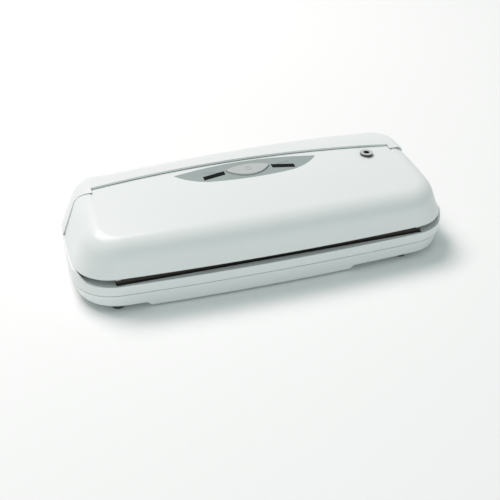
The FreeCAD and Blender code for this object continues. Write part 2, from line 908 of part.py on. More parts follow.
def make_lid_shell():
    """The moulded lid with its recess, panel seat, port hole and screw posts."""
    outer = lid_form("lid_outer", size(0), size(0), Z_LID)
    hollow = lid_form("lid_hollow", S.lid_wall, S.lid_top_wall, Z_PARTING)
    columns = [rod("port_boss", S.port_flange_radius, (S.port_x, S.port_y, Z_PORT_SEAT), S.lid_end_round)]
    tools = [
        above_lid_top("recess_space", recess_outline(), S.recess_depth),
        above_lid_top("panel_seat", panel_outline(-S.panel_clearance), S.recess_depth + S.panel_thickness),
        slab("panel_opening", panel_outline(S.panel_ledge), Z_HINGE, Z_FORM_TOP),
        rod("port_hole", S.port_radius + S.port_clearance, (S.port_x, S.port_y, Z_PORT_FLANGE), HALF_DEPTH),
        slab("lid_heel_trim", [
            (S.hinge_y, Z_LID),
            (S.hinge_y + S.heel_length, Z_LID),
            (S.hinge_y + S.heel_length, Z_LID + S.heel_rise),
        ], -HALF_WIDTH, HALF_WIDTH, "YZ_Plane"),
    ]
    for word, side in SIDES.items():
        for place, (x, y, under) in enumerate(LID_POSTS):
            top = under + S.liner_thickness
            spot = (side * x, y, top)
            columns.append(rod(f"lid_post_{word}_{place}", S.post_radius, spot, Z_FORM_TOP - top))
            tools.append(rod(f"lid_post_bore_{word}_{place}", SCREW_HOLE, spot, S.lid_screw_length))
        tools.append(end_trim(f"lid_corner_trim_{word}", side, size(0)))
    for place, (x, y) in enumerate(control_post_places()):
        spot = (x, y, Z_BOARD_TOP)
        columns.append(rod(f"board_post_{place}", S.board_post_radius, spot, S.lid_end_round))
        tools.append(rod(f"board_post_bore_{place}", BOARD_SCREW_HOLE, spot, S.board_screw_length))
    skin = cut("lid_skin", outer, cut("lid_space", hollow, *columns))
    opened = cut("lid_opened", skin, *tools)
    return common("lid_shell", opened, ahead_of_crease("lid_reach", S.crease_gap))


def make_control_panel():
    """The thin almond panel that fills its seat level with the recess."""
    floor = S.recess_depth + S.panel_thickness
    filled = under_lid_top("panel_block", panel_outline(size(0)), Z_HINGE, S.recess_depth)
    plate = cut("panel_plate", filled, lid_top("panel_under", floor))
    tools = [slab("button_hole", button_outline(S.button_clearance), Z_HINGE, Z_FORM_TOP)]
    for word, side in SIDES.items():
        corners = window_outline(side, S.window_clearance)
        tools.append(slab(f"window_hole_{word}", corners, Z_HINGE, Z_FORM_TOP))
    return cut("control_panel", plate, *tools)


def make_start_button():
    """The start button: a rounded cap on a flange that hooks under the panel."""
    low = Z_BOARD_TOP + S.tact_height + S.button_travel + S.rest_gap
    cap = under_lid_top("button_block", button_outline(size(0)), low, S.recess_depth - S.button_height)
    rounded = round_top("button_cap", cap, S.button_round, S.button_round, S.button_round)
    flange = slab("button_rim", button_outline(S.button_flange), low, low + S.button_flange_thickness)
    return fuse("start_button", rounded, flange)


def make_window(word, side):
    """One indicator window, a clear bar that reaches down to its lamp."""
    low = Z_BOARD_TOP + S.lamp_height
    corners = window_outline(side, size(0))
    return under_lid_top(f"{word}_window", corners, low, S.recess_depth - S.window_proud)


def control_post_places():
    """Where the four posts of the control board hang."""
    x = S.board_half_length - S.board_post_inset_x
    return [(side * x, y) for side in SIDES.values()
            for y in (S.board_front_y + S.board_post_inset_y, S.board_rear_y - S.board_post_inset_y)]


def make_control_board():
    """The circuit board under the panel."""
    plate = block("control_board_plate", (-S.board_half_length, S.board_front_y, Z_BOARD),
                  (S.board_half_length, S.board_rear_y, Z_BOARD_TOP))
    holes = []
    for place, (x, y) in enumerate(control_post_places()):
        holes.append(rod(f"control_board_hole_{place}", BOARD_SCREW_HOLE, (x, y, Z_BOARD), S.board_thickness))
    return cut("control_board", plate, *holes)


def screw(name, radius, head_radius, seat, length):
    """A screw that points up from its seat."""
    x, y, z = seat
    return fuse(
        name,
        rod(f"{name}_head", head_radius, (x, y, z - S.screw_head_height), S.screw_head_height),
        rod(f"{name}_shank", radius, seat, length),
    )


def screw_down(name, radius, head_radius, seat, length):
    """A screw that points down from its seat."""
    x, y, z = seat
    return fuse(
        name,
        rod(f"{name}_head", head_radius, seat, S.screw_head_height),
        rod(f"{name}_shank", radius, (x, y, z - length), length),
    )


def make_control_board_screws():
    """Four small screws that hold the control board up against the lid's posts."""
    made = []
    for place, (x, y) in enumerate(control_post_places()):
        made.append(screw(f"control_screw_{place}", S.board_screw_radius, S.board_screw_head, (x, y, Z_BOARD),
                          S.board_screw_length))
    return fuse("control_board_screws", *made)


def make_lamp_blocks():
    """The lamp block behind each window."""
    made = []
    for word, side in SIDES.items():
        low, high = across(side, S.lamp_near_x, S.lamp_far_x)
        made.append(block(f"lamp_block_{word}", (low, S.lamp_front_y, Z_BOARD_TOP),
                          (high, S.lamp_rear_y, Z_BOARD_TOP + S.lamp_height)))
    return fuse("lamp_blocks", *made)


def make_tact_switch():
    """The small key switch under the start button."""
    half = S.tact_width / 2
    return block("tact_switch", (-half, S.tact_y - half, Z_BOARD_TOP),
                 (half, S.tact_y + half, Z_BOARD_TOP + S.tact_height))


def make_hose_port():
    """The accessory port: a ring on the lid, a flange under it and an elbow with a nipple."""
    x, y = S.port_x, S.port_y
    bottom = Z_PORT_FLANGE - S.port_elbow_drop
    top = Z_RIM + S.port_rise
    reach = S.port_elbow_radius + S.nipple_length
    solid = fuse(
        "port_solid",
        rod("port_ring", S.port_radius, (x, y, Z_PORT_FLANGE), top - Z_PORT_FLANGE),
        rod("port_flange", S.port_flange_radius, (x, y, Z_PORT_FLANGE), S.port_flange_thickness),
        rod("port_elbow", S.port_elbow_radius, (x, y, bottom), S.port_elbow_drop),
        rod("port_nipple", S.nipple_radius, (x, y - reach, Z_PORT_NIPPLE), reach, "y"),
    )
    return cut(
        "hose_port", solid,
        rod("port_mouth", S.port_bore, (x, y, Z_PORT_SEAT), top - Z_PORT_SEAT),
        rod("port_drop", S.port_drop_bore, (x, y, bottom + S.port_floor), S.port_elbow_drop * 2),
        rod("port_way_out", S.nipple_bore, (x, y - reach, Z_PORT_NIPPLE), reach, "y"),
    )


def tube_run(name, radius):
    """The port hose's run at one radius: forward from the port, round a bend and down to the chamber."""
    x = S.port_x
    bend_y = S.tube_bend - S.chamber_nipple_y
    start_y = S.port_y - S.port_flange_radius - S.tube_end_gap
    bend_z = Z_PORT_NIPPLE - S.tube_bend
    bottom = Z_LINER_TOP + S.tube_end_gap
    return fuse(
        name,
        rod(f"{name}_level", radius, (x, bend_y, Z_PORT_NIPPLE), start_y - bend_y, "y"),
        elbow(f"{name}_bend", S.tube_bend, radius, (x, bend_y, bend_z)),
        rod(f"{name}_drop", radius, (x, -S.chamber_nipple_y, bottom), bend_z - bottom),
    )


def make_port_hose():
    """The hose from the accessory port down to the vacuum chamber."""
    return cut("port_hose", tube_run("port_hose_outside", TUBE_OUTER), tube_run("port_hose_bore", TUBE_INNER))


def make_lid_liner():
    """The lid's inner moulding: chamber roof, step, shelf, hinge arms and switch pegs."""
    inset = S.lid_wall + S.liner_clearance
    plan = lid_form("liner_plan", inset, S.lid_top_wall, Z_PARTING, rounded=False)
    step_rear_y = S.liner_step_y + S.liner_thickness
    arm_end = S.arm_x + S.arm_width
    roof = common("chamber_roof", plan, block("chamber_roof_band", (-HALF_WIDTH, -HALF_DEPTH, Z_LINER),
                                               (HALF_WIDTH, step_rear_y, Z_LINER_TOP)))
    pieces = [
        roof,
        block("liner_step", (-arm_end, S.liner_step_y, Z_LINER), (arm_end, step_rear_y, Z_SHELF_TOP)),
        block("liner_shelf", (-arm_end, S.liner_step_y, Z_SHELF),
              (arm_end, S.liner_shelf_rear_y, Z_SHELF_TOP)),
        rod("chamber_nipple", S.nipple_radius, (S.port_x, -S.chamber_nipple_y, Z_LINER),
            S.liner_thickness + S.nipple_length),
    ]
    holes = [rod("chamber_nipple_bore", S.nipple_bore, (S.port_x, -S.chamber_nipple_y, Z_LINER),
                 S.liner_thickness + S.nipple_length)]
    plunger_top = Z_DECK + S.plunger_rise
    peg_low = plunger_top + S.rest_gap
    for word, side in SIDES.items():
        low, high = across(side, S.arm_x, arm_end)
        half = S.arm_depth / 2
        pieces.append(block(f"hinge_arm_{word}", (low, S.hinge_y - half, Z_SHELF),
                            (high, S.hinge_y + half, Z_HINGE)))
        pieces.append(rod(f"hinge_knuckle_{word}", S.arm_radius, (low, S.hinge_y, Z_HINGE), S.arm_width, "x"))
        holes.append(rod(f"hinge_arm_bore_{word}", S.pin_radius + S.pin_running, (low, S.hinge_y, Z_HINGE),
                         S.arm_width, "x"))
        pieces.append(rod(f"switch_peg_{word}", S.peg_radius, (side * S.switch_x, -S.switch_y, peg_low),
                          Z_LINER - peg_low))
        for place, (x, y, under) in enumerate(LID_POSTS):
            holes.append(rod(f"liner_screw_hole_{word}_{place}", SCREW_HOLE, (side * x, y, under),
                             S.liner_thickness))
    return cut("lid_liner", fuse("liner_solid", *pieces), *holes)


def make_lid_screws():
    """Six screws that hold the liner to the lid."""
    made = []
    for word, side in SIDES.items():
        for place, (x, y, under) in enumerate(LID_POSTS):
            made.append(screw(f"lid_screw_{word}_{place}", S.screw_radius, S.screw_head_radius,
                              (side * x, y, under), S.lid_screw_length))
    return fuse("lid_screws", *made)


def make_hinge_pin(word, side):
    """One hinge pin, headed on its outer end."""
    bracket_end = S.arm_x + S.arm_width + S.bracket_gap + S.bracket_width
    low, high = across(side, S.arm_x, bracket_end)
    head_low, head_high = across(side, bracket_end, bracket_end + S.pin_head_length)
    return fuse(
        f"hinge_pin_{word}",
        rod(f"pin_shank_{word}", S.pin_radius, (low, S.hinge_y, Z_HINGE), high - low, "x"),
        rod(f"pin_head_{word}", S.pin_head_radius, (head_low, S.hinge_y, Z_HINGE), head_high - head_low, "x"),
    )


# Casing

def make_rear_cover():
    """The fixed band behind the lid, with a screw boss at each end."""
    outer = cover_form("cover_outer", size(0), size(0), Z_RIM)
    hollow = cover_form("cover_hollow", S.cover_wall, S.cover_top_wall, Z_PARTING)
    skin = cut("cover_skin", outer, hollow)
    horns = [end_trim(f"cover_horn_{word}", side, S.crease_gap) for word, side in SIDES.items()]
    lid_room = cut("cover_lid_room", ahead_of_crease("cover_front", size(0)), *horns)
    behind = cut("cover_behind_crease", skin, lid_room)
    columns = []
    bores = []
    for word, side in SIDES.items():
        spot = (side * S.boss_rear_x, S.boss_rear_y, Z_DECK)
        columns.append(rod(f"cover_boss_{word}", S.boss_radius, spot, S.boss_rear_rise))
        bores.append(rod(f"cover_boss_bore_{word}", SCREW_HOLE, spot, S.boss_rear_rise))
        low, high = across(side, S.boss_rear_x - S.boss_rib / 2, S.boss_rear_x + S.boss_rib / 2)
        columns.append(block(f"cover_rib_{word}", (low, S.boss_rear_y, Z_RIM),
                             (high, HALF_DEPTH, Z_DECK + S.boss_rear_rise)))
    limit = cover_form("cover_boss_limit", S.cover_wall / 2, S.cover_top_wall / 2, Z_PARTING)
    bosses = common("cover_bosses", fuse("cover_boss_columns", *columns), limit)
    return cut("rear_cover", fuse("cover_with_bosses", behind, bosses), *bores)


def casing_prism(name, inset, low, high):
    """The straight-sided casing outline between two levels, drawn in by a wall."""
    outline = (HALF_WIDTH - inset, HALF_DEPTH - inset, S.corner_radius - inset)
    return casing_loft(name, (low, *outline), (high, *outline))


def make_deck_frame():
    """The middle of the casing: outer wall, deck, bag mouth, gland pad and bosses."""
    outer = casing_prism("frame_outer", size(0), Z_FRAME, Z_RIM)
    mouth_rear_y = S.mouth_depth - HALF_DEPTH
    hollows = [
        casing_prism("frame_under_space", S.frame_wall, Z_PARTING, Z_DECK_UNDER),
        casing_prism("frame_upper_space", S.frame_wall, Z_DECK, Z_LID),
        slab("mouth_space", [
            (-S.overall_depth, Z_DECK),
            (mouth_rear_y, Z_DECK),
            (mouth_rear_y + S.mouth_ramp, Z_RIM),
            (mouth_rear_y + S.mouth_ramp, Z_LID),
            (-S.overall_depth, Z_LID),
        ], -S.overall_width, S.overall_width, "YZ_Plane"),
    ]
    walls = cut("frame_walls", outer, *hollows)
    pad_front_y = S.gland_seat_y - S.gland_pad_thickness
    pad_low = Z_FRAME + S.lip_height + S.lip_clearance
    pad = block("gland_pad", (S.gland_x - S.gland_pad_half, pad_front_y, pad_low),
                (S.gland_x + S.gland_pad_half, S.gland_seat_y, Z_RIM))
    pieces = [walls, pad]
    opening_x = S.bay_half_length - S.bay_opening_margin
    opening_front_y = S.bay_front_y + S.bay_wall
    holes = [
        block("bay_opening", (-opening_x, opening_front_y, Z_FRAME),
              (opening_x, S.bay_opening_rear_y, Z_DECK)),
        slab("drip_opening", rounded_outline(-S.drip_half_length, -S.drip_front_y, S.drip_half_length,
                                             -S.drip_rear_y, S.drip_corner), Z_DECK_UNDER, Z_DECK),
        rod("gland_hole", S.gland_radius + S.gland_clearance, (S.gland_x, S.bay_opening_rear_y, Z_GLAND),
            S.gland_seat_y - S.bay_opening_rear_y, "y"),
        rod("gland_sink", S.gland_flange_radius + S.gland_clearance, (S.gland_x, S.gland_seat_y, Z_GLAND),
            S.gland_length, "y"),
    ]
    for word, side in SIDES.items():
        holes.append(rod(f"plunger_hole_{word}", S.plunger_radius + S.plunger_running,
                         (side * S.switch_x, -S.switch_y, Z_DECK_UNDER), S.deck_thickness))
        for where, x, y in CASING_BOSSES:
            spot = (side * x, y, Z_BOSS_MEETING)
            top = Z_DECK if where == "rear" else Z_DECK_UNDER
            pieces.append(rod(f"frame_boss_{where}_{word}", S.boss_radius, spot, top - Z_BOSS_MEETING))
            holes.append(rod(f"frame_bore_{where}_{word}", SCREW_HOLE, spot, top - Z_BOSS_MEETING))
        for place, y in enumerate((S.tab_front_y, S.tab_rear_y)):
            x = S.bay_half_length + S.tab_length / 2
            spot = (side * x, y, Z_FRAME)
            pieces.append(rod(f"tab_boss_{word}_{place}", S.post_radius, spot, Z_DECK_UNDER - Z_FRAME))
            holes.append(rod(f"tab_bore_{word}_{place}", SCREW_HOLE, spot, Z_DECK - Z_FRAME))
    return cut("deck_frame", fuse("frame_solid", *pieces), *holes)


def make_bag_stops():
    """The block on the deck at each end of the bag mouth."""
    made = []
    for word, side in SIDES.items():
        low, high = across(side, S.stop_x, S.stop_x + S.stop_length)
        made.append(block(f"bag_stop_{word}", (low, -S.stop_front_y, Z_DECK),
                          (high, S.stop_depth - S.stop_front_y, Z_DECK + S.stop_height)))
    return fuse("bag_stops", *made)


def make_bay_cover():
    """The inner housing over the pump and transformer, which carries the hinge brackets."""
    half = S.bay_half_length
    front_y, rear_y = S.bay_front_y, S.bay_rear_y
    back_y = rear_y + S.bay_wall
    roof_under = Z_BAY_ROOF - S.bay_wall
    wing_under = Z_RIM + S.bay_clearance
    pieces = [
        block("bay_front_wall", (-half, front_y, Z_DECK), (half, front_y + S.bay_wall, Z_BAY_ROOF)),
        block("bay_roof", (-half, front_y, roof_under), (half, back_y, Z_BAY_ROOF)),
    ]
    screen = [block("bay_screen_middle", (-half, rear_y, roof_under), (half, back_y, Z_FORM_TOP))]
    bores = []
    bracket_start = S.arm_x + S.arm_width + S.bracket_gap
    for word, side in SIDES.items():
        low, high = across(side, half - S.bay_wall, half)
        pieces.append(block(f"bay_end_{word}", (low, front_y, Z_DECK), (high, back_y, Z_BAY_ROOF)))
        low, high = across(side, half - S.bay_wall, HALF_WIDTH)
        screen.append(block(f"bay_screen_{word}", (low, rear_y, wing_under), (high, back_y, Z_FORM_TOP)))
        low, high = across(side, bracket_start, bracket_start + S.bracket_width)
        start = (low, S.hinge_y, Z_HINGE)
        pieces.append(block(f"bracket_post_{word}", (low, S.hinge_y - S.bracket_radius, roof_under),
                            (high, S.hinge_y + S.bracket_radius, Z_HINGE)))
        pieces.append(rod(f"bracket_eye_{word}", S.bracket_radius, start, S.bracket_width, "x"))
        bores.append(rod(f"bracket_bore_{word}", S.pin_radius + S.pin_press, start, S.bracket_width, "x"))
        low, high = across(side, half, half + S.tab_length)
        tab_top = Z_DECK + S.bay_wall
        edge = S.tab_width / 2
        for place, y in enumerate((S.tab_front_y, S.tab_rear_y)):
            pieces.append(block(f"bay_tab_{word}_{place}", (low, y - edge, Z_DECK),
                                (high, y + edge, tab_top)))
            spot = (side * (half + S.tab_length / 2), y, Z_DECK)
            bores.append(rod(f"bay_tab_hole_{word}_{place}", SCREW_HOLE, spot, S.bay_wall))
    gap = S.bay_clearance
    inside = cover_form("bay_limit", S.cover_wall + gap, S.cover_top_wall + gap, Z_PARTING)
    pieces.append(common("bay_screen", inside, fuse("bay_screen_bands", *screen)))
    return cut("bay_cover", fuse("bay_solid", *pieces), *bores)


def make_bay_screws():
    """Four screws that hold the bay cover down on the deck."""
    made = []
    for word, side in SIDES.items():
        for place, y in enumerate((S.tab_front_y, S.tab_rear_y)):
            seat = (side * (S.bay_half_length + S.tab_length / 2), y, Z_DECK + S.bay_wall)
            made.append(screw_down(f"bay_screw_{word}_{place}", S.screw_radius, S.screw_head_radius, seat,
                                   S.bay_screw_length))
    return fuse("bay_screws", *made)


def tray_section(height, inset):
    """The tray's outline at a height. Its walls lean in towards the bottom."""
    share = (Z_PARTING - height) / (Z_PARTING - Z_PLINTH)
    return (
        height,
        HALF_WIDTH - S.tray_side_lean * share - inset,
        HALF_DEPTH - S.tray_front_lean * share - inset,
        S.corner_radius - inset,
    )


def make_bottom_tray():
    """The bottom tray: leaning walls, plinth, locating lip, foot sockets, posts and vents."""
    outer = casing_loft("tray_outer", tray_section(Z_PLINTH, size(0)), tray_section(Z_PARTING, size(0)))
    lip_top = Z_FRAME + S.lip_height
    lip = casing_prism("tray_lip", S.frame_wall + S.lip_clearance, Z_FLOOR, lip_top)
    top_section = tray_section(Z_PARTING, S.tray_wall)
    low_section = tray_section(Z_FLOOR, S.tray_wall)
    space = casing_loft("tray_space", low_section, top_section, (Z_LID, *top_section[1:]))
    far = S.overall_width
    ends = [
        slab("tray_left_end", [
            (-far, -Z_PLINTH),
            (-S.plinth_left, -Z_PLINTH),
            (-S.plinth_left, Z_PLINTH),
            (-S.plinth_left - S.plinth_slope, S.foot_height),
            (-far, S.foot_height),
        ], -S.overall_depth, S.overall_depth, "XZ_Plane"),
        slab("tray_right_end", [
            (S.plinth_right, -Z_PLINTH),
            (far, -Z_PLINTH),
            (far, S.foot_height),
            (S.plinth_right + S.plinth_slope, S.foot_height),
            (S.plinth_right, Z_PLINTH),
        ], -S.overall_depth, S.overall_depth, "XZ_Plane"),
    ]
    pocket = block("plinth_pocket", (S.pocket_inset - S.plinth_left, -S.pocket_half_depth, Z_DEEP_FLOOR),
                   (S.plinth_right - S.pocket_inset, S.pocket_half_depth, Z_FLOOR))
    shell = cut("tray_shell", fuse("tray_block", outer, lip), space, pocket, *ends)
    pieces = [shell]
    holes = []
    for word, side in SIDES.items():
        for where, x, y in CASING_BOSSES:
            low = Z_DEEP_FLOOR if where == "front" else Z_FLOOR
            pieces.append(rod(f"tray_post_{where}_{word}", S.boss_radius, (side * x, y, low),
                              Z_BOSS_MEETING - low))
            holes.append(rod(f"tray_bore_{where}_{word}", SCREW_HOLE, (side * x, y, Z_SCREW_SEAT),
                             Z_BOSS_MEETING - Z_SCREW_SEAT))
            holes.append(rod(f"tray_sink_{where}_{word}", S.screw_head_radius + S.head_clearance,
                             (side * x, y, size(0)), Z_SCREW_SEAT))
    for place, (x, y) in enumerate(foot_places()):
        holes.append(rod(f"foot_socket_{place}", S.foot_radius, (x, y, size(0)), FOOT_LENGTH))
    for place, (x, y) in enumerate(power_post_places()):
        pieces.append(rod(f"power_post_{place}", S.power_post_radius, (x, y, Z_DEEP_FLOOR), S.power_lift))
        holes.append(rod(f"power_post_bore_{place}", BOARD_SCREW_HOLE, (x, y, Z_POWER - S.power_screw_length),
                         S.power_screw_length))
    for place in range(VENT_COUNT):
        x = S.vent_pitch * place - S.vent_x
        holes.append(block(f"vent_{place}", (x, -S.vent_front_y, Z_PLINTH),
                           (x + S.vent_width, -S.vent_rear_y, Z_DEEP_FLOOR)))
    return cut("bottom_tray", fuse("tray_solid", *pieces), *holes)


def foot_places():
    """Where the four feet stand."""
    return [(x, y) for x in (-S.foot_left_x, S.foot_right_x) for y in (-S.foot_y, S.foot_y)]


def make_rubber_feet():
    """Four rubber discs pushed into sockets in the tray."""
    made = []
    for place, (x, y) in enumerate(foot_places()):
        made.append(rod(f"foot_{place}", S.foot_radius, (x, y, size(0)), FOOT_LENGTH))
    return fuse("rubber_feet", *made)


def make_casing_screws():
    """Six screws from below: four into the deck frame and two long ones into the rear cover."""
    made = []
    for word, side in SIDES.items():
        for where, x, y in CASING_BOSSES:
            length = S.long_screw_length if where == "rear" else S.short_screw_length
            made.append(screw(f"casing_screw_{where}_{word}", S.screw_radius, S.screw_head_radius,
                              (side * x, y, Z_SCREW_SEAT), length))
    return fuse("casing_screws", *made)


def make_cord_gland():
    """The grommet in the rear wall that the mains lead passes through."""
    seat = (S.gland_x, S.gland_seat_y, Z_GLAND)
    inner_end = (S.gland_x, S.gland_seat_y - S.gland_length, Z_GLAND)
    solid = fuse(
        "gland_solid",
        rod("gland_flange", S.gland_flange_radius, seat, S.gland_flange_length, "y"),
        rod("gland_barrel", S.gland_radius, inner_end, S.gland_length, "y"),
    )
    bore = rod("gland_bore", S.gland_bore, inner_end, S.gland_length + S.gland_flange_length, "y")
    return cut("cord_gland", solid, bore)


# Vacuum chamber, seals and heater

def make_gasket(name, low, high):
    """One foam ring round the vacuum chamber."""
    inner = S.drip_flange + S.gasket_margin
    outer = inner + S.gasket_width

    def ring_outline(growth, corner):
        return rounded_outline(-S.drip_half_length - growth, -S.drip_front_y - growth,
                               S.drip_half_length + growth, growth - S.drip_rear_y, corner)

    full = slab(f"{name}_full", ring_outline(outer, S.gasket_corner + S.gasket_width), low, high)
    return cut(name, full, slab(f"{name}_inside", ring_outline(inner, S.gasket_corner), low, high))


def make_drip_tray():
    """The removable trough that catches liquid, with the suction nozzle at its back."""
    floor = Z_DECK - S.drip_depth

    def basin(name, inset, low, high):
        half = S.drip_half_length - inset
        corners = rounded_outline(-half, inset - S.drip_front_y, half, -S.drip_rear_y - inset,
                                  S.drip_corner - inset)
        return slab(name, corners, low, high)

    rim_top = Z_DECK + S.drip_flange_thickness
    wall = S.drip_clearance + S.drip_wall
    start_y = -S.drip_rear_y - wall
    length = wall + S.suction_length
    solid = fuse(
        "drip_solid",
        basin("drip_outside", S.drip_clearance, floor, Z_DECK),
        basin("drip_rim", -S.drip_flange, Z_DECK, rim_top),
        rod("drip_nozzle", S.suction_radius, (S.suction_x, start_y, Z_SUCTION), length, "y"),
    )
    return cut(
        "drip_tray", solid,
        basin("drip_inside", wall, floor + S.drip_wall, rim_top),
        rod("drip_nozzle_bore", S.suction_bore, (S.suction_x, start_y, Z_SUCTION), length, "y"),
    )


def make_suction_hose():
    """The straight hose from the drip tray's nozzle to the pump."""
    inner = S.suction_radius + S.tube_fit
    start_y = S.tube_end_gap - S.drip_rear_y
    end_y = S.pump_y - S.head_half - S.tube_end_gap
    spot = (S.suction_x, start_y, Z_SUCTION)
    length = end_y - start_y
    return cut("suction_hose", rod("suction_outside", inner + S.suction_tube_wall, spot, length, "y"),
               rod("suction_inside", inner, spot, length, "y"))


def heater_block(name, half_length, width, low, high):
    """A long bar over the sealing line."""
    front_y = -S.heater_y - width / 2
    return block(name, (-half_length, front_y, low), (half_length, front_y + width, high))


Z_HEATER = Z_DECK + S.heater_height
Z_RIBBON = Z_HEATER + S.ribbon_thickness
Z_TAPE = Z_RIBBON + S.tape_thickness
RIBBON_HALF = S.heater_half_length - S.clamp_length


def make_heater_tape():
    """The cloth tape over the ribbon, folded down the bar's front and laid on the deck."""
    front_y = -S.heater_y - S.heater_width / 2
    half = S.heater_half_length
    return fuse(
        "heater_tape",
        heater_block("tape_top", RIBBON_HALF, S.heater_width, Z_RIBBON, Z_TAPE),
        block("tape_fold", (-half, front_y - S.tape_thickness, Z_DECK), (half, front_y, Z_TAPE)),
        block("tape_apron", (-half, front_y - S.tape_apron, Z_DECK),
              (half, front_y - S.tape_thickness, Z_DECK + S.tape_thickness)),
    )


def make_heater_clamps():
    """The clamp that holds each end of the heating ribbon."""
    made = []
    for word, side in SIDES.items():
        low, high = across(side, RIBBON_HALF, S.heater_half_length)
        half = S.heater_width / 2
        made.append(block(f"heater_clamp_{word}", (low, -S.heater_y - half, Z_HEATER),
                          (high, half - S.heater_y, Z_HEATER + S.clamp_height)))
    return fuse("heater_clamps", *made)


# Lid switches

def make_lid_switch(word, side):
    """One switch under the deck that the closed lid works."""
    x = side * S.switch_x
    return block(f"lid_switch_{word}", (x - S.switch_width / 2, -S.switch_y - S.switch_length / 2, Z_FLOOR),
                 (x + S.switch_width / 2, S.switch_length / 2 - S.switch_y, Z_FLOOR + S.switch_height))


def make_plunger(word, side):
    """One plunger that passes the lid's push on to its switch."""
    x = side * S.switch_x
    low = Z_FLOOR + S.switch_height + S.plunger_travel + S.rest_gap
    flange_low = Z_DECK_UNDER - S.rest_gap - S.plunger_flange_height
    return fuse(
        f"plunger_{word}",
        rod(f"plunger_rod_{word}", S.plunger_radius, (x, -S.switch_y, low), Z_DECK + S.plunger_rise - low),
        rod(f"plunger_flange_{word}", S.plunger_flange_radius, (x, -S.switch_y, flange_low),
            S.plunger_flange_height),
    )


# Transformer and power board

def make_transformer_core():
    """The laminated core with its two windows."""
    bottom = Z_DEEP_FLOOR
    front_y, rear_y = S.core_y - S.core_depth / 2, S.core_y + S.core_depth / 2
    half = S.core_width / 2
    solid = block("core_solid", (-S.core_x - half, front_y, bottom),
                  (half - S.core_x, rear_y, bottom + S.core_height))
    windows = []
    for word, side in SIDES.items():
        low, high = across(side, S.core_leg, half - S.core_leg)
        windows.append(block(f"core_window_{word}", (low - S.core_x, front_y, bottom + S.core_leg),
                             (high - S.core_x, rear_y, bottom + S.core_height - S.core_leg)))
    return cut("transformer_core", solid, *windows)


def make_transformer_winding():
    """The coil round the core's middle leg."""
    low = Z_DEEP_FLOOR + S.core_leg
    high = Z_DEEP_FLOOR + S.core_height - S.core_leg

    def coil(name, half_x, half_y):
        return block(name, (-S.core_x - half_x, S.core_y - half_y, low),
                     (half_x - S.core_x, S.core_y + half_y, high))

    half_y = S.core_depth / 2
    reach_x = S.core_width / 2 - S.core_leg - S.winding_clearance
    outside = coil("winding_outside", reach_x, half_y + S.winding_overhang)
    inside = coil("winding_inside", S.core_leg + S.winding_clearance, half_y + S.winding_clearance)
    return cut("transformer_winding", outside, inside)


def power_post_places():
    """Where the four posts of the power board stand."""
    inset = S.power_post_inset
    return [(x, y) for x in (inset - S.power_left_x, S.power_right_x - inset)
            for y in (S.power_front_y + inset, S.power_rear_y - inset)]


Z_POWER_TOP = Z_POWER + S.board_thickness


def make_power_board():
    """The circuit board that switches the heater and the pump."""
    plate = block("power_board_plate", (-S.power_left_x, S.power_front_y, Z_POWER),
                  (S.power_right_x, S.power_rear_y, Z_POWER_TOP))
    holes = []
    for place, (x, y) in enumerate(power_post_places()):
        holes.append(rod(f"power_board_hole_{place}", BOARD_SCREW_HOLE, (x, y, Z_POWER), S.board_thickness))
    return cut("power_board", plate, *holes)


def make_power_board_screws():
    """Four small screws that hold the power board on its posts."""
    made = []
    for place, (x, y) in enumerate(power_post_places()):
        made.append(screw_down(f"power_screw_{place}", S.board_screw_radius, S.board_screw_head,
                               (x, y, Z_POWER_TOP), S.power_screw_length))
    return fuse("power_board_screws", *made)


def board_block(name, x, y, length, width, height):
    """A component that stands on the power board."""
    return block(name, (x - length / 2, y - width / 2, Z_POWER_TOP),
                 (x + length / 2, y + width / 2, Z_POWER_TOP + height))


def make_capacitors():
    """The two smoothing capacitors."""
    made = []
    for place in range(2):
        spot = (S.capacitor_pitch * place - S.capacitor_x, S.capacitor_y, Z_POWER_TOP)
        made.append(rod(f"capacitor_{place}", S.capacitor_radius, spot, S.capacitor_height))
    return fuse("capacitors", *made)


# Pump, from the motor along X to the cap

X_MOUNT = S.pump_x + S.motor_length
X_HEAD = X_MOUNT + S.mount_thickness
X_DIAPHRAGM = X_HEAD + S.head_length
X_CAP = X_DIAPHRAGM + S.diaphragm_thickness


def pump_block(name, half_y, low_x, high_x, low_z, high_z):
    """A block across the pump's axis."""
    return block(name, (low_x, S.pump_y - half_y, low_z), (high_x, S.pump_y + half_y, high_z))


def pump_square(name, low_x, high_x):
    """A square plate or body centred on the pump's axis."""
    return pump_block(name, S.head_half, low_x, high_x, Z_PUMP - S.head_half, Z_PUMP + S.head_half)


def make_pump_motor():
    """The motor, with the socket that its shaft turns in."""
    can = rod("motor_can", S.motor_radius, (S.pump_x, S.pump_y, Z_PUMP), S.motor_length, "x")
    depth = S.shaft_socket + S.rest_gap
    start = (X_MOUNT - depth, S.pump_y, Z_PUMP)
    socket = rod("motor_socket", S.shaft_radius + S.shaft_running, start, depth, "x")
    return cut("pump_motor", can, socket)


def make_pump_shaft():
    """The turning shaft with its eccentric."""
    eccentric_x = X_HEAD + S.eccentric_width
    return fuse(
        "pump_shaft",
        rod("shaft_rod", S.shaft_radius, (X_MOUNT - S.shaft_socket, S.pump_y, Z_PUMP), S.shaft_length, "x"),
        rod("shaft_eccentric", S.eccentric_radius, (eccentric_x, S.pump_y, Z_PUMP + S.eccentric_throw),
            S.eccentric_width, "x"),
    )


def make_pump_bracket():
    """The plate that holds the motor and the pump housing up off the tray."""
    plate = pump_block("bracket_plate", S.head_half, X_MOUNT, X_HEAD, Z_DEEP_FLOOR,
                       Z_PUMP + S.head_half + S.mount_overhang)
    return cut("pump_bracket", plate, rod("bracket_hole", S.head_cavity, (X_MOUNT, S.pump_y, Z_PUMP),
                                          S.mount_thickness, "x"))


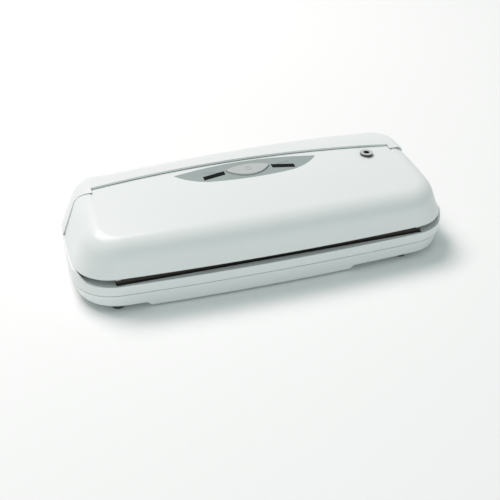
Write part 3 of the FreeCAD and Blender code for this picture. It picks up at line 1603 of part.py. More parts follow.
def make_pump_housing():
    """The pump's body, open along its axis."""
    return cut("pump_housing", pump_square("housing_solid", X_HEAD, X_DIAPHRAGM),
               rod("housing_cavity", S.head_cavity, (X_HEAD, S.pump_y, Z_PUMP), S.head_length, "x"))


def make_pump_cap():
    """The pump's valve cap, with the nozzle that the suction hose pushes on to."""
    face_y = S.pump_y - S.head_half
    nozzle_y = face_y - S.suction_length
    solid = fuse(
        "cap_solid",
        pump_square("cap_block", X_CAP, X_CAP + S.cap_length),
        rod("cap_nozzle", S.suction_radius, (S.suction_x, nozzle_y, Z_SUCTION), S.suction_length, "y"),
    )
    return cut(
        "pump_cap", solid,
        rod("cap_cavity", S.head_cavity, (X_CAP, S.pump_y, Z_PUMP), S.cap_length - S.cap_wall, "x"),
        rod("cap_nozzle_bore", S.suction_bore, (S.suction_x, nozzle_y, Z_SUCTION),
            S.suction_length + S.head_half, "y"),
    )


# Every sub-part, in the order of assembly
nodes = [
    make_bottom_tray(),
    make_rubber_feet(),
    make_deck_frame(),
    make_bag_stops(),
    make_rear_cover(),
    make_casing_screws(),
    make_bay_cover(),
    make_bay_screws(),
    make_cord_gland(),
    make_transformer_core(),
    make_transformer_winding(),
    make_power_board(),
    make_power_board_screws(),
    make_capacitors(),
    board_block("relay", -S.relay_x, S.relay_y, S.relay_length, S.relay_width, S.relay_height),
    board_block("terminal_block", -S.terminal_x, S.terminal_y, S.terminal_length, S.terminal_width,
                S.terminal_height),
    make_pump_motor(),
    make_pump_shaft(),
    make_pump_bracket(),
    make_pump_housing(),
    pump_square("pump_diaphragm", X_DIAPHRAGM, X_CAP),
    make_pump_cap(),
    make_suction_hose(),
    make_drip_tray(),
    make_gasket("lower_gasket", Z_DECK, Z_LINER - S.gasket_height - S.seal_gap),
    heater_block("heater_bar", S.heater_half_length, S.heater_width, Z_DECK, Z_HEATER),
    heater_block("heating_ribbon", RIBBON_HALF, S.ribbon_width, Z_HEATER, Z_RIBBON),
    make_heater_tape(),
    make_heater_clamps(),
    make_lid_shell(),
    make_lid_liner(),
    make_lid_screws(),
    make_gasket("upper_gasket", Z_LINER - S.gasket_height, Z_LINER),
    heater_block("press_strip", RIBBON_HALF - S.strip_gap, S.strip_width, Z_TAPE + S.strip_gap, Z_LINER),
    make_control_panel(),
    make_start_button(),
    make_control_board(),
    make_control_board_screws(),
    make_lamp_blocks(),
    make_tact_switch(),
    make_hose_port(),
    make_port_hose(),
]
for word, side in SIDES.items():
    nodes.append(make_window(word, side))
    nodes.append(make_hinge_pin(word, side))
    nodes.append(make_lid_switch(word, side))
    nodes.append(make_plunger(word, side))
doc.recompute()

# Checks, then one STEP file for each sub-part
for thing in doc.Objects:
    if "Invalid" in thing.State:
        raise RuntimeError(f"{thing.Name} has not been built: {thing.State}")
os.makedirs("parts", exist_ok=True)
for node in nodes:
    if node.Shape.isNull() or not node.Shape.isValid() or not node.Shape.Solids:
        raise RuntimeError(f"{node.Label} has no sound shape")
    print(node.Label, len(node.Shape.Solids), "solids", round(node.Shape.Volume), "mm3")
    node.Shape.exportStep(f"parts/{node.Label}.step")
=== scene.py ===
"""Looks of the vacuum sealer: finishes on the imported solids, modelled soft pieces, and a plain studio."""

import json
import logging
import math
from dataclasses import dataclass
from enum import Enum

import bmesh
import bpy
from mathutils import Matrix, Vector


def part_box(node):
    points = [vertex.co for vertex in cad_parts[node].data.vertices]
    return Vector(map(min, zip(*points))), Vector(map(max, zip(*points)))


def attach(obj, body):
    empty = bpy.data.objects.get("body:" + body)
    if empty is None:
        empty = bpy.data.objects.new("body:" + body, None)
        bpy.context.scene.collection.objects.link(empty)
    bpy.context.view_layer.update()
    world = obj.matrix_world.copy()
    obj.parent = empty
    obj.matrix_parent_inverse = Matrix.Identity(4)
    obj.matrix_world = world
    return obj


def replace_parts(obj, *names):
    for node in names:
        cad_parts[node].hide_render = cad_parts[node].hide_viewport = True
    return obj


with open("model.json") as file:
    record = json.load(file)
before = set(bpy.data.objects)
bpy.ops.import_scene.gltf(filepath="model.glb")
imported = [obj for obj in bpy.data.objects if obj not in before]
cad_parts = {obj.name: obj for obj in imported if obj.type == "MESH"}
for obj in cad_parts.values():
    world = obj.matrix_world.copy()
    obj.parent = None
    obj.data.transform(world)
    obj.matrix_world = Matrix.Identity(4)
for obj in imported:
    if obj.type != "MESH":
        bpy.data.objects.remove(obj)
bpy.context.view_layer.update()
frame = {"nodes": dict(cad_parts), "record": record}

LOG = logging.getLogger("vacuum_sealer")
# Points that are nearer than this, in metres, count as one
TOUCHING = 1e-6

Colour = tuple[float, float, float]
Point = tuple[float, float, float]
Tree = bpy.types.NodeTree
Socket = bpy.types.NodeSocket
MaskAndHeight = tuple[Socket, Socket]
BMesh = bmesh.types.BMesh


class Pattern(Enum):
    """The surface detail that a finish shows close up."""

    MOULDED = "moulded_skin"
    BRUSHED = "brushed_metal"
    CELLS = "foam_cells"
    WEAVE = "cloth_weave"
    TURNS = "wound_wire"
    LAYERS = "stacked_sheets"
    TRACKS = "board_tracks"


@dataclass(frozen=True)
class Finish:
    """One finish: two close colours, a span of roughness and the pattern that varies them."""

    colour: Colour
    second: Colour
    smooth: float
    rough: float
    pattern: Pattern = Pattern.MOULDED
    scale: float = 1.0
    relief: float = 0.08
    metallic: float = 0.0
    coat: float = 0.0
    coat_roughness: float = 0.1
    specular: float = 0.5


@dataclass(frozen=True)
class PrintedBar:
    """A thin printed line on an upward face, in metres and degrees."""

    x: float
    y: float
    turn: float
    half_length: float
    half_width: float


@dataclass(frozen=True)
class PrintedRing:
    """A thin printed circle on an upward face, in metres."""

    x: float
    y: float
    radius: float
    half_width: float


# Finishes by the record's material slot
FINISHES: dict[str, Finish] = {
    "white_casing": Finish(
        (0.82, 0.846, 0.841), (0.805, 0.831, 0.826), 0.3, 0.38, relief=0.05, coat=0.08, specular=0.28,
    ),
    "black_plastic": Finish(
        (0.014, 0.015, 0.015), (0.022, 0.023, 0.023), 0.45, 0.6, scale=1.6, relief=0.22, specular=0.3,
    ),
    "pale_plastic": Finish((0.66, 0.66, 0.63), (0.60, 0.60, 0.57), 0.36, 0.48),
    "panel_grey": Finish(
        (0.315, 0.375, 0.367), (0.295, 0.352, 0.344), 0.34, 0.46, scale=1.8, relief=0.1,
    ),
    "button_silver": Finish(
        (0.5, 0.53, 0.52), (0.475, 0.505, 0.495), 0.3, 0.4, relief=0.06, coat=0.1, specular=0.4,
    ),
    "window_black": Finish(
        (0.003, 0.004, 0.004), (0.005, 0.006, 0.006), 0.2, 0.28, relief=0.02, specular=0.04,
    ),
    "dark_rubber": Finish(
        (0.035, 0.035, 0.036), (0.055, 0.055, 0.055), 0.6, 0.78, scale=1.3, relief=0.3,
    ),
    "pale_silicone": Finish((0.62, 0.63, 0.62), (0.54, 0.55, 0.54), 0.3, 0.42, relief=0.06),
    "foam": Finish(
        (0.02, 0.02, 0.021), (0.045, 0.045, 0.046), 0.8, 0.95, Pattern.CELLS, scale=1500, relief=0.5,
        specular=0.25,
    ),
    # Near black tape; where it lies on the deck in front of the bar it is painted shade for the mouth
    "tape_cloth": Finish(
        (0.035, 0.03, 0.026), (0.018, 0.016, 0.014), 0.4, 0.55, Pattern.WEAVE, scale=480, relief=0.3,
        specular=0.3,
    ),
    "steel": Finish(
        (0.60, 0.60, 0.61), (0.48, 0.48, 0.49), 0.24, 0.42, Pattern.BRUSHED, scale=900, relief=0.1,
        metallic=1.0,
    ),
    "core_iron": Finish(
        (0.17, 0.17, 0.18), (0.07, 0.07, 0.075), 0.4, 0.6, Pattern.LAYERS, scale=628, relief=0.4,
        metallic=0.8,
    ),
    "copper": Finish(
        (0.50, 0.20, 0.075), (0.28, 0.09, 0.03), 0.26, 0.4, Pattern.TURNS, scale=450, relief=0.8,
        metallic=0.9,
    ),
    "board": Finish(
        (0.02, 0.13, 0.055), (0.04, 0.2, 0.09), 0.3, 0.45, Pattern.TRACKS, scale=150, relief=0.2,
    ),
}
# Painted shade: the hose port's sides are painted near black, darker than its top, as they lie in shade
PORT_SIDE_PAINTED_SHADE: Colour = (0.06, 0.063, 0.064)
PRINT_COLOUR: Colour = (0.16, 0.17, 0.17)
PANEL_LABELS = (
    PrintedBar(-0.0375, 0.0262, -12.0, 0.0078, 0.00045),
    PrintedBar(0.0375, 0.0262, 12.0, 0.0078, 0.00045),
)
BUTTON_SIGN = (
    PrintedRing(0.0, 0.0222, 0.0026, 0.00022),
    PrintedBar(0.0, 0.0248, 90.0, 0.0014, 0.00026),
)

# How often the grain and the mottling repeat in a metre, and other measures of the patterns
FINE_GRAIN = 2600.0
SLOW_MOTTLE = 22.0
FOAM_MOTTLE = 0.2
BRUSH_STRETCH: Point = (0.04, 1.0, 1.0)
BRUSH_DETAIL = 4.0
TRACK_GAP = 0.05
BUMP_DISTANCE = 0.0002
# A face looks up where its normal's height is more than this; the others can get painted shade
LOOKS_UP = 0.6
BLACK = (0.0, 0.0, 0.0, 1.0)
WHITE = (1.0, 1.0, 1.0, 1.0)


# Shader helpers

def add_node(tree: Tree, kind: str, inputs: dict | None = None, **settings: object) -> bpy.types.Node:
    """Add a node, set its options, and fill or link its inputs.

    Args:
        tree: the node tree to add to.
        kind: the node's type name.
        inputs: values or sockets by input name or index.
        settings: options of the node itself.
    Returns:
        The new node.
    """
    node = tree.nodes.new(kind)
    for name, value in settings.items():
        setattr(node, name, value)
    for socket, value in (inputs or {}).items():
        if isinstance(value, Socket):
            tree.links.new(value, node.inputs[socket])
        else:
            node.inputs[socket].default_value = value
    return node


def calculate(tree: Tree, operation: str, *values: object) -> Socket:
    """Put a Math node on one or two values and give back its output."""
    node = add_node(tree, "ShaderNodeMath", dict(enumerate(values)), operation=operation)
    return node.outputs[0]


def within(tree: Tree, value: Socket, limit: Socket) -> Socket:
    """Give 1 where a value is nearer to zero than a limit, and 0 elsewhere."""
    return calculate(tree, "LESS_THAN", calculate(tree, "ABSOLUTE", value), limit)


def mix_colours(tree: Tree, share: object, first: object, second: object) -> Socket:
    """Mix two colours.

    Args:
        tree: the node tree to add to.
        share: how much of the second colour shows, a value or a socket.
        first: a colour of three numbers, or a socket.
        second: a colour of three numbers, or a socket.
    Returns:
        The mixed colour.
    """
    node = add_node(tree, "ShaderNodeMix", data_type="RGBA")
    sockets = [socket for socket in node.inputs if socket.enabled]
    for socket, value in zip(sockets, (share, first, second)):
        if isinstance(value, Socket):
            tree.links.new(value, socket)
        elif isinstance(value, tuple):
            socket.default_value = (*value, 1.0)
        else:
            socket.default_value = value
    return next(socket for socket in node.outputs if socket.enabled)


class NodeGroups:
    """The shader node groups that several finishes share, each built once."""

    def __init__(self) -> None:
        """Start with no group built."""
        self.made: dict[str, Tree] = {}
        self.makers = {
            Pattern.MOULDED: self.moulded_skin,
            Pattern.BRUSHED: self.brushed_metal,
            Pattern.CELLS: self.foam_cells,
            Pattern.WEAVE: self.cloth_weave,
            Pattern.TURNS: self.wound_wire,
            Pattern.LAYERS: self.stacked_sheets,
            Pattern.TRACKS: self.board_tracks,
        }

    def pattern(self, kind: Pattern) -> Tree:
        """Give the group of a pattern, with a Scale input and Mask and Height outputs.

        Args:
            kind: the pattern.
        Returns:
            The node group.
        """
        if kind.value not in self.made:
            tree = self.start(kind.value, ("Scale",), ("Mask", "Height"))
            scale = tree.nodes["Group Input"].outputs["Scale"]
            where = add_node(tree, "ShaderNodeTexCoord").outputs["Object"]
            mask, height = self.makers[kind](tree, where, scale)
            ends = tree.nodes["Group Output"]
            tree.links.new(mask, ends.inputs["Mask"])
            tree.links.new(height, ends.inputs["Height"])
        return self.made[kind.value]

    def start(self, name: str, inputs: tuple[str, ...], outputs: tuple[str, ...]) -> Tree:
        """Make an empty group with plain number sockets.

        Args:
            name: the group's name.
            inputs: names of its inputs.
            outputs: names of its outputs.
        Returns:
            The new group, with its two end nodes.
        """
        tree = bpy.data.node_groups.new(name, "ShaderNodeTree")
        for word in inputs:
            tree.interface.new_socket(word, in_out="INPUT", socket_type="NodeSocketFloat")
        for word in outputs:
            tree.interface.new_socket(word, in_out="OUTPUT", socket_type="NodeSocketFloat")
        tree.nodes.new("NodeGroupInput")
        tree.nodes.new("NodeGroupOutput")
        self.made[name] = tree
        return tree

    @staticmethod
    def noise(tree: Tree, where: Socket, scale: Socket, detail: float = 2.0) -> Socket:
        """Give the value of a noise texture at a place."""
        inputs = {"Vector": where, "Scale": scale, "Detail": detail}
        return add_node(tree, "ShaderNodeTexNoise", inputs).outputs[0]

    @staticmethod
    def wave(tree: Tree, where: Socket, scale: Socket, axis: str) -> Socket:
        """Give the value of even stripes across an axis."""
        node = add_node(tree, "ShaderNodeTexWave", {"Vector": where, "Scale": scale}, bands_direction=axis)
        return node.outputs["Fac"]

    def moulded_skin(self, tree: Tree, where: Socket, scale: Socket) -> MaskAndHeight:
        """Make slow mottling and a fine spark-eroded grain.

        Args:
            tree: the group to build in.
            where: the place on the piece.
            scale: how much finer than usual the grain is.
        Returns:
            The mottling and the grain's height.
        """
        mask = self.noise(tree, where, calculate(tree, "MULTIPLY", scale, SLOW_MOTTLE))
        height = self.noise(tree, where, calculate(tree, "MULTIPLY", scale, FINE_GRAIN))
        return mask, height

    def brushed_metal(self, tree: Tree, where: Socket, scale: Socket) -> MaskAndHeight:
        """Make long scratches along the length.

        Args:
            tree: the group to build in.
            where: the place on the piece.
            scale: how many scratches lie across a metre.
        Returns:
            The scratches, as mask and height.
        """
        drawn = add_node(tree, "ShaderNodeMapping", {"Vector": where, "Scale": BRUSH_STRETCH})
        height = self.noise(tree, drawn.outputs[0], scale, BRUSH_DETAIL)
        return height, height

    def foam_cells(self, tree: Tree, where: Socket, scale: Socket) -> MaskAndHeight:
        """Make the closed cells of a foam, with soft walls between them.

        Args:
            tree: the group to build in.
            where: the place on the piece.
            scale: how many cells lie along a metre.
        Returns:
            A slow mottling and the cells' height.
        """
        cells = add_node(tree, "ShaderNodeTexVoronoi", {"Vector": where, "Scale": scale})
        mask = self.noise(tree, where, calculate(tree, "MULTIPLY", scale, FOAM_MOTTLE))
        return mask, cells.outputs["Distance"]

    def cloth_weave(self, tree: Tree, where: Socket, scale: Socket) -> MaskAndHeight:
        """Make the warp over weft of a glass cloth.

        Args:
            tree: the group to build in.
            where: the place on the piece.
            scale: how close the threads are.
        Returns:
            The threads, as mask and height.
        """
        warp = self.wave(tree, where, scale, "X")
        weft = self.wave(tree, where, scale, "Y")
        height = calculate(tree, "MULTIPLY", warp, weft)
        return height, height

    def wound_wire(self, tree: Tree, where: Socket, scale: Socket) -> MaskAndHeight:
        """Make turns of wire that lie one above the other."""
        height = self.wave(tree, where, scale, "Z")
        return height, height

    def stacked_sheets(self, tree: Tree, where: Socket, scale: Socket) -> MaskAndHeight:
        """Make the edges of thin sheets that are stacked from front to back."""
        height = self.wave(tree, where, scale, "Y")
        return height, height

    def board_tracks(self, tree: Tree, where: Socket, scale: Socket) -> MaskAndHeight:
        """Make copper tracks under a board's lacquer.

        Args:
            tree: the group to build in.
            where: the place on the board.
            scale: how close the tracks are.
        Returns:
            The tracks, as mask and height.
        """
        tones = {"Color1": WHITE, "Color2": WHITE, "Mortar": BLACK}
        inputs = {"Vector": where, "Scale": scale, "Mortar Size": TRACK_GAP, **tones}
        mask = add_node(tree, "ShaderNodeTexBrick", inputs).outputs["Fac"]
        return mask, mask

    def printed_bar(self) -> Tree:
        """Give the group that masks a printed line on an upward face.

        Returns:
            The node group.
        """
        if "printed_bar" not in self.made:
            words = ("X", "Y", "Turn", "Half Length", "Half Width")
            tree = self.start("printed_bar", words, ("Mask",))
            given = tree.nodes["Group Input"].outputs
            where = add_node(tree, "ShaderNodeTexCoord").outputs["Object"]
            centre = add_node(tree, "ShaderNodeCombineXYZ", {"X": given["X"], "Y": given["Y"]})
            offset = add_node(
                tree, "ShaderNodeVectorMath", {0: where, 1: centre.outputs[0]}, operation="SUBTRACT"
            )
            turned = add_node(
                tree, "ShaderNodeVectorRotate", {"Vector": offset.outputs[0], "Angle": given["Turn"]},
                rotation_type="Z_AXIS",
            )
            axes = add_node(tree, "ShaderNodeSeparateXYZ", {0: turned.outputs[0]}).outputs
            along = within(tree, axes["X"], given["Half Length"])
            across = within(tree, axes["Y"], given["Half Width"])
            mask = calculate(tree, "MULTIPLY", along, across)
            tree.links.new(mask, tree.nodes["Group Output"].inputs["Mask"])
        return self.made["printed_bar"]

    def printed_ring(self) -> Tree:
        """Give the group that masks a printed circle on an upward face.

        Returns:
            The node group.
        """
        if "printed_ring" not in self.made:
            tree = self.start("printed_ring", ("X", "Y", "Radius", "Half Width"), ("Mask",))
            given = tree.nodes["Group Input"].outputs
            where = add_node(tree, "ShaderNodeTexCoord").outputs["Object"]
            axes = add_node(tree, "ShaderNodeSeparateXYZ", {0: where}).outputs
            squares = []
            for axis in ("X", "Y"):
                offset = calculate(tree, "SUBTRACT", axes[axis], given[axis])
                squares.append(calculate(tree, "POWER", offset, 2.0))
            distance = calculate(tree, "SQRT", calculate(tree, "ADD", *squares))
            away = calculate(tree, "SUBTRACT", distance, given["Radius"])
            mask = within(tree, away, given["Half Width"])
            tree.links.new(mask, tree.nodes["Group Output"].inputs["Mask"])
        return self.made["printed_ring"]


class PaintShop:
    """Makes each finish's material once, and dresses nodes and pieces with it."""

    def __init__(self) -> None:
        """Start with no material mixed."""
        self.groups = NodeGroups()
        self.mixed: dict[str, bpy.types.Material] = {}

    def coat(
        self, name: str, finish: Finish, prints: tuple = (), side_shade: Colour | None = None
    ) -> bpy.types.Material:
        """Mix the material of a finish.

        Args:
            name: the material's name.
            finish: the finish.
            prints: printed bars and rings on upward faces.
            side_shade: a darker colour, painted shade, for faces that don't look up.
        Returns:
            The material, which is the same one when asked for again.
        """
        if name in self.mixed:
            return self.mixed[name]
        material = bpy.data.materials.new(name)
        material.use_nodes = True
        tree = material.node_tree
        shader = tree.nodes["Principled BSDF"]
        detail = add_node(tree, "ShaderNodeGroup", node_tree=self.groups.pattern(finish.pattern))
        detail.inputs["Scale"].default_value = finish.scale
        mask = detail.outputs["Mask"]
        colour = mix_colours(tree, mask, finish.colour, finish.second)
        for mark in prints:
            colour = mix_colours(tree, self.print_mask(tree, mark), colour, PRINT_COLOUR)
        # Painted shade: faces that don't look up get the darker colour
        if side_shade is not None:
            facing = add_node(tree, "ShaderNodeTexCoord").outputs["Normal"]
            height = add_node(tree, "ShaderNodeSeparateXYZ", {0: facing}).outputs["Z"]
            colour = mix_colours(tree, calculate(tree, "LESS_THAN", height, LOOKS_UP), colour, side_shade)
        spread = add_node(
            tree, "ShaderNodeMapRange", {"Value": mask, "To Min": finish.smooth, "To Max": finish.rough}
        )
        bump = add_node(
            tree, "ShaderNodeBump",
            {"Height": detail.outputs["Height"], "Strength": finish.relief, "Distance": BUMP_DISTANCE},
        )
        tree.links.new(colour, shader.inputs["Base Color"])
        tree.links.new(spread.outputs[0], shader.inputs["Roughness"])
        tree.links.new(bump.outputs[0], shader.inputs["Normal"])
        shader.inputs["Metallic"].default_value = finish.metallic
        shader.inputs["Coat Weight"].default_value = finish.coat
        shader.inputs["Coat Roughness"].default_value = finish.coat_roughness
        shader.inputs["Specular IOR Level"].default_value = finish.specular
        self.mixed[name] = material
        return material

    def print_mask(self, tree: Tree, mark: PrintedBar | PrintedRing) -> Socket:
        """Place the mask of one printed mark.

        Args:
            tree: the material's node tree.
            mark: the printed bar or ring.
        Returns:
            A mask that is 1 where the print is.
        """
        if isinstance(mark, PrintedBar):
            node = add_node(tree, "ShaderNodeGroup", node_tree=self.groups.printed_bar())
            values = (mark.x, mark.y, math.radians(-mark.turn), mark.half_length, mark.half_width)
        else:
            node = add_node(tree, "ShaderNodeGroup", node_tree=self.groups.printed_ring())
            values = (mark.x, mark.y, mark.radius, mark.half_width)
        for socket, value in zip(node.inputs, values):
            socket.default_value = value
        return node.outputs["Mask"]

    def material(self, slot: str) -> bpy.types.Material:
        """Give the plain material of a slot."""
        return self.coat(slot, FINISHES[slot])

    def dress_nodes(self, nodes: dict[str, bpy.types.Object], record: dict) -> None:
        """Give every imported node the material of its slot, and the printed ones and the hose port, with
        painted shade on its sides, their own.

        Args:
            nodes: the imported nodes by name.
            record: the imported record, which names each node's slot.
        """
        panel = FINISHES["panel_grey"]
        silver = FINISHES["button_silver"]
        special = {
            "control_panel": self.coat("printed_panel", panel, PANEL_LABELS),
            "start_button": self.coat("printed_button", silver, BUTTON_SIGN),
            # The hose port's sides get painted shade
            "hose_port": self.coat("port_grey_side_shade", silver, side_shade=PORT_SIDE_PAINTED_SHADE),
        }
        slots = {part["node"]: part["material_slot"] for part in record["subparts"]}
        for name, node in nodes.items():
            material = special.get(name) or self.material(slots[name])
            node.data.materials.clear()
            node.data.materials.append(material)
            LOG.info("dressed %s with %s", name, material.name)


# Mesh helpers

def add_object(name: str, mesh: BMesh) -> bpy.types.Object:
    """Turn a bmesh into an object of the scene.

    Args:
        name: the name of the object and its mesh.
        mesh: the shape, which is freed.
    Returns:
        The new object.
    """
    data = bpy.data.meshes.new(name)
    mesh.to_mesh(data)
    mesh.free()
    made = bpy.data.objects.new(name, data)
    bpy.context.scene.collection.objects.link(made)
    return made


def close_skin(mesh: BMesh) -> None:
    """Merge points that touch, and turn every face outwards."""
    bmesh.ops.remove_doubles(mesh, verts=mesh.verts[:], dist=TOUCHING)
    bmesh.ops.recalc_face_normals(mesh, faces=mesh.faces[:])


def finish_piece(
    shop: PaintShop, mesh: BMesh, name: str, body: str, slot: str, sharp: float = 40.0
) -> bpy.types.Object:
    """Turn a bmesh into a piece that rides on a body.

    Args:
        shop: where its material comes from.
        mesh: the shape, in metres in the shared frame, which is freed.
        name: the piece's name.
        body: the body that it rides on.
        slot: the record's material slot.
        sharp: edges that turn by more degrees than this stay sharp.
    Returns:
        The new object.
    """
    close_skin(mesh)
    made = add_object(name, mesh)
    made.data.shade_smooth()
    made.data.set_sharp_from_angle(angle=math.radians(sharp))
    made.data.materials.append(shop.material(slot))
    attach(made, body)
    LOG.info("modelled %s on %s", name, body)
    return made


def block_mesh(low: Vector, high: Vector) -> BMesh:
    """Start a bmesh as a box.

    Args:
        low: the corner with the smallest coordinates.
        high: the corner with the largest ones.
    Returns:
        The box.
    """
    mesh = bmesh.new()
    bmesh.ops.create_cube(mesh, size=1.0)
    bmesh.ops.scale(mesh, vec=high - low, verts=mesh.verts[:])
    bmesh.ops.translate(mesh, vec=(low + high) / 2, verts=mesh.verts[:])
    return mesh


def round_edges(mesh: BMesh, edges: list, offset: float, segments: int, affect: str = "EDGES") -> None:
    """Round some edges or corners of a bmesh.

    Args:
        mesh: the bmesh.
        edges: the edges or corner points to round.
        offset: how far the rounding reaches, in metres.
        segments: how many faces it has across.
        affect: EDGES, or VERTICES for the corners of a flat face.
    """
    bmesh.ops.bevel(
        mesh, geom=edges, offset=offset, offset_type="OFFSET", affect=affect, segments=segments,
        profile=0.5, material=-1, clamp_overlap=True,
    )


def extrude(mesh: BMesh, faces: list, way: Point) -> None:
    """Draw faces out into a solid, and leave them behind as its end.

    Args:
        mesh: the bmesh.
        faces: the faces to draw out.
        way: how far and which way, in metres.
    """
    drawn = bmesh.ops.extrude_face_region(mesh, geom=faces, use_keep_orig=True)["geom"]
    far = [item for item in drawn if isinstance(item, bmesh.types.BMVert)]
    bmesh.ops.translate(mesh, vec=way, verts=far)


def spun(profile: list[tuple[float, float]], steps: int) -> BMesh:
    """Turn a profile once round the Z axis.

    Args:
        profile: its points, as radius and height.
        steps: how many faces go round.
    Returns:
        The closed shape.
    """
    mesh = bmesh.new()
    points = [mesh.verts.new((radius, 0.0, height)) for radius, height in profile]
    edges = [mesh.edges.new(pair) for pair in zip(points, points[1:])]
    bmesh.ops.spin(
        mesh, geom=points + edges, cent=(0, 0, 0), axis=(0, 0, 1), dvec=(0, 0, 0), angle=math.tau,
        steps=steps, use_merge=True, use_duplicate=False,
    )
    close_skin(mesh)
    return mesh


def lies_at(edge: bmesh.types.BMEdge, axis: str, level: float) -> bool:
    """Say whether both ends of an edge are at one level along an axis."""
    return all(abs(getattr(vertex.co, axis) - level) < TOUCHING for vertex in edge.verts)


def mirrored(*places: Point) -> tuple[Point, ...]:
    """Repeat places on the other side of the middle."""
    return tuple((side * x, y, z) for side in (-1, 1) for x, y, z in places)


# Modelled pieces

@dataclass
class FoamGasket:
    """A foam ring round the vacuum chamber, with a rounded sealing edge."""

    node: str
    body: str
    seals_upwards: bool
    width: float = 0.006
    corner: float = 0.016
    corner_segments: int = 12
    edge_round: float = 0.0024
    edge_segments: int = 5
    rim_angle: float = 1.0
    sharp: float = 60.0
    fill: float = 0.9

    def ring(self, low: Vector, high: Vector) -> BMesh:
        """Make the plain ring between two corners.

        Args:
            low: the corner with the smallest coordinates.
            high: the corner with the largest ones.
        Returns:
            The ring, with square edges.
        """
        mesh = bmesh.new()
        places = ((low.x, low.y), (high.x, low.y), (high.x, high.y), (low.x, high.y))
        mesh.faces.new([mesh.verts.new((x, y, low.z)) for x, y in places])
        round_edges(mesh, mesh.verts[:], self.corner, self.corner_segments, affect="VERTICES")
        inner = mesh.faces[:]
        bmesh.ops.inset_region(
            mesh, faces=inner, thickness=self.width, use_boundary=True, use_even_offset=True
        )
        bmesh.ops.delete(mesh, geom=inner, context="FACES_ONLY")
        extrude(mesh, mesh.faces[:], (0, 0, high.z - low.z))
        bmesh.ops.recalc_face_normals(mesh, faces=mesh.faces[:])
        return mesh

    def build(self, shop: PaintShop) -> bpy.types.Object:
        """Model the ring in its solid's space.

        Args:
            shop: where its material comes from.
        Returns:
            The new piece.
        """
        low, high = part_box(self.node)
        mesh = self.ring(low, high)
        level = high.z if self.seals_upwards else low.z
        flat = [edge for edge in mesh.edges if lies_at(edge, "z", level)]
        rims = [edge for edge in flat if edge.calc_face_angle(0.0) > self.rim_angle]
        round_edges(mesh, rims, self.edge_round, self.edge_segments)
        made = finish_piece(shop, mesh, f"{self.node}_foam", self.body, "foam", self.sharp)
        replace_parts(made, self.node)
        return made


@dataclass
class SealingBar:
    """What shows of the sealing line: the coated tape over the ribbon, whose dark sheet on the deck is also
    painted shade for the mouth, and the rubber strip above it.
    """

    strip_round: float = 0.0016
    strip_segments: int = 5
    tape_thickness: float = 0.00025
    tape_round: float = 0.0001
    tape_segments: int = 2

    def build_strip(self, shop: PaintShop) -> bpy.types.Object:
        """Model the rubber strip with a rounded working edge.

        Args:
            shop: where its material comes from.
        Returns:
            The new piece.
        """
        low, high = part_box("press_strip")
        mesh = block_mesh(low, high)
        edges = [edge for edge in mesh.edges if lies_at(edge, "z", low.z)]
        round_edges(mesh, edges, self.strip_round, self.strip_segments)
        made = finish_piece(shop, mesh, "press_strip_rubber", "lid", "dark_rubber")
        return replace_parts(made, "press_strip")

    def build_tape(self, shop: PaintShop) -> bpy.types.Object:
        """Model the tape, folded from the ribbon down the bar's front and on to the deck, where its dark
        sheet is painted shade for the sealer's mouth.

        Args:
            shop: where its material comes from.
        Returns:
            The new piece.
        """
        low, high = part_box("heater_tape")
        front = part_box("heater_bar")[0].y
        half_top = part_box("heating_ribbon")[1].x
        thick = self.tape_thickness
        fold = front - thick
        shade_sheet_top = low.z + thick
        # Painted shade: the near-black sheet on the deck in front of the bar darkens the sealer's mouth
        apron_and_shade_sheet = [
            (fold, high.z), (fold, shade_sheet_top), (low.y, shade_sheet_top), (low.y, low.z), (front, low.z),
            (front, high.z),
        ]
        top = [(high.y, high.z), (front, high.z), (front, high.z - thick), (high.y, high.z - thick)]
        mesh = bmesh.new()
        for half, profile in ((high.x, apron_and_shade_sheet), (half_top, top)):
            side = mesh.faces.new([mesh.verts.new((-half, y, z)) for y, z in profile])
            extrude(mesh, [side], (2 * half, 0, 0))
        creases = [edge for edge in mesh.edges if lies_at(edge, "y", fold)]
        folds = [edge for edge in creases if abs(edge.verts[0].co.x - edge.verts[1].co.x) > TOUCHING]
        round_edges(mesh, folds, self.tape_round, self.tape_segments)
        made = finish_piece(shop, mesh, "heater_tape_cloth_and_shade_sheet", "base", "tape_cloth")
        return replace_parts(made, "heater_tape")


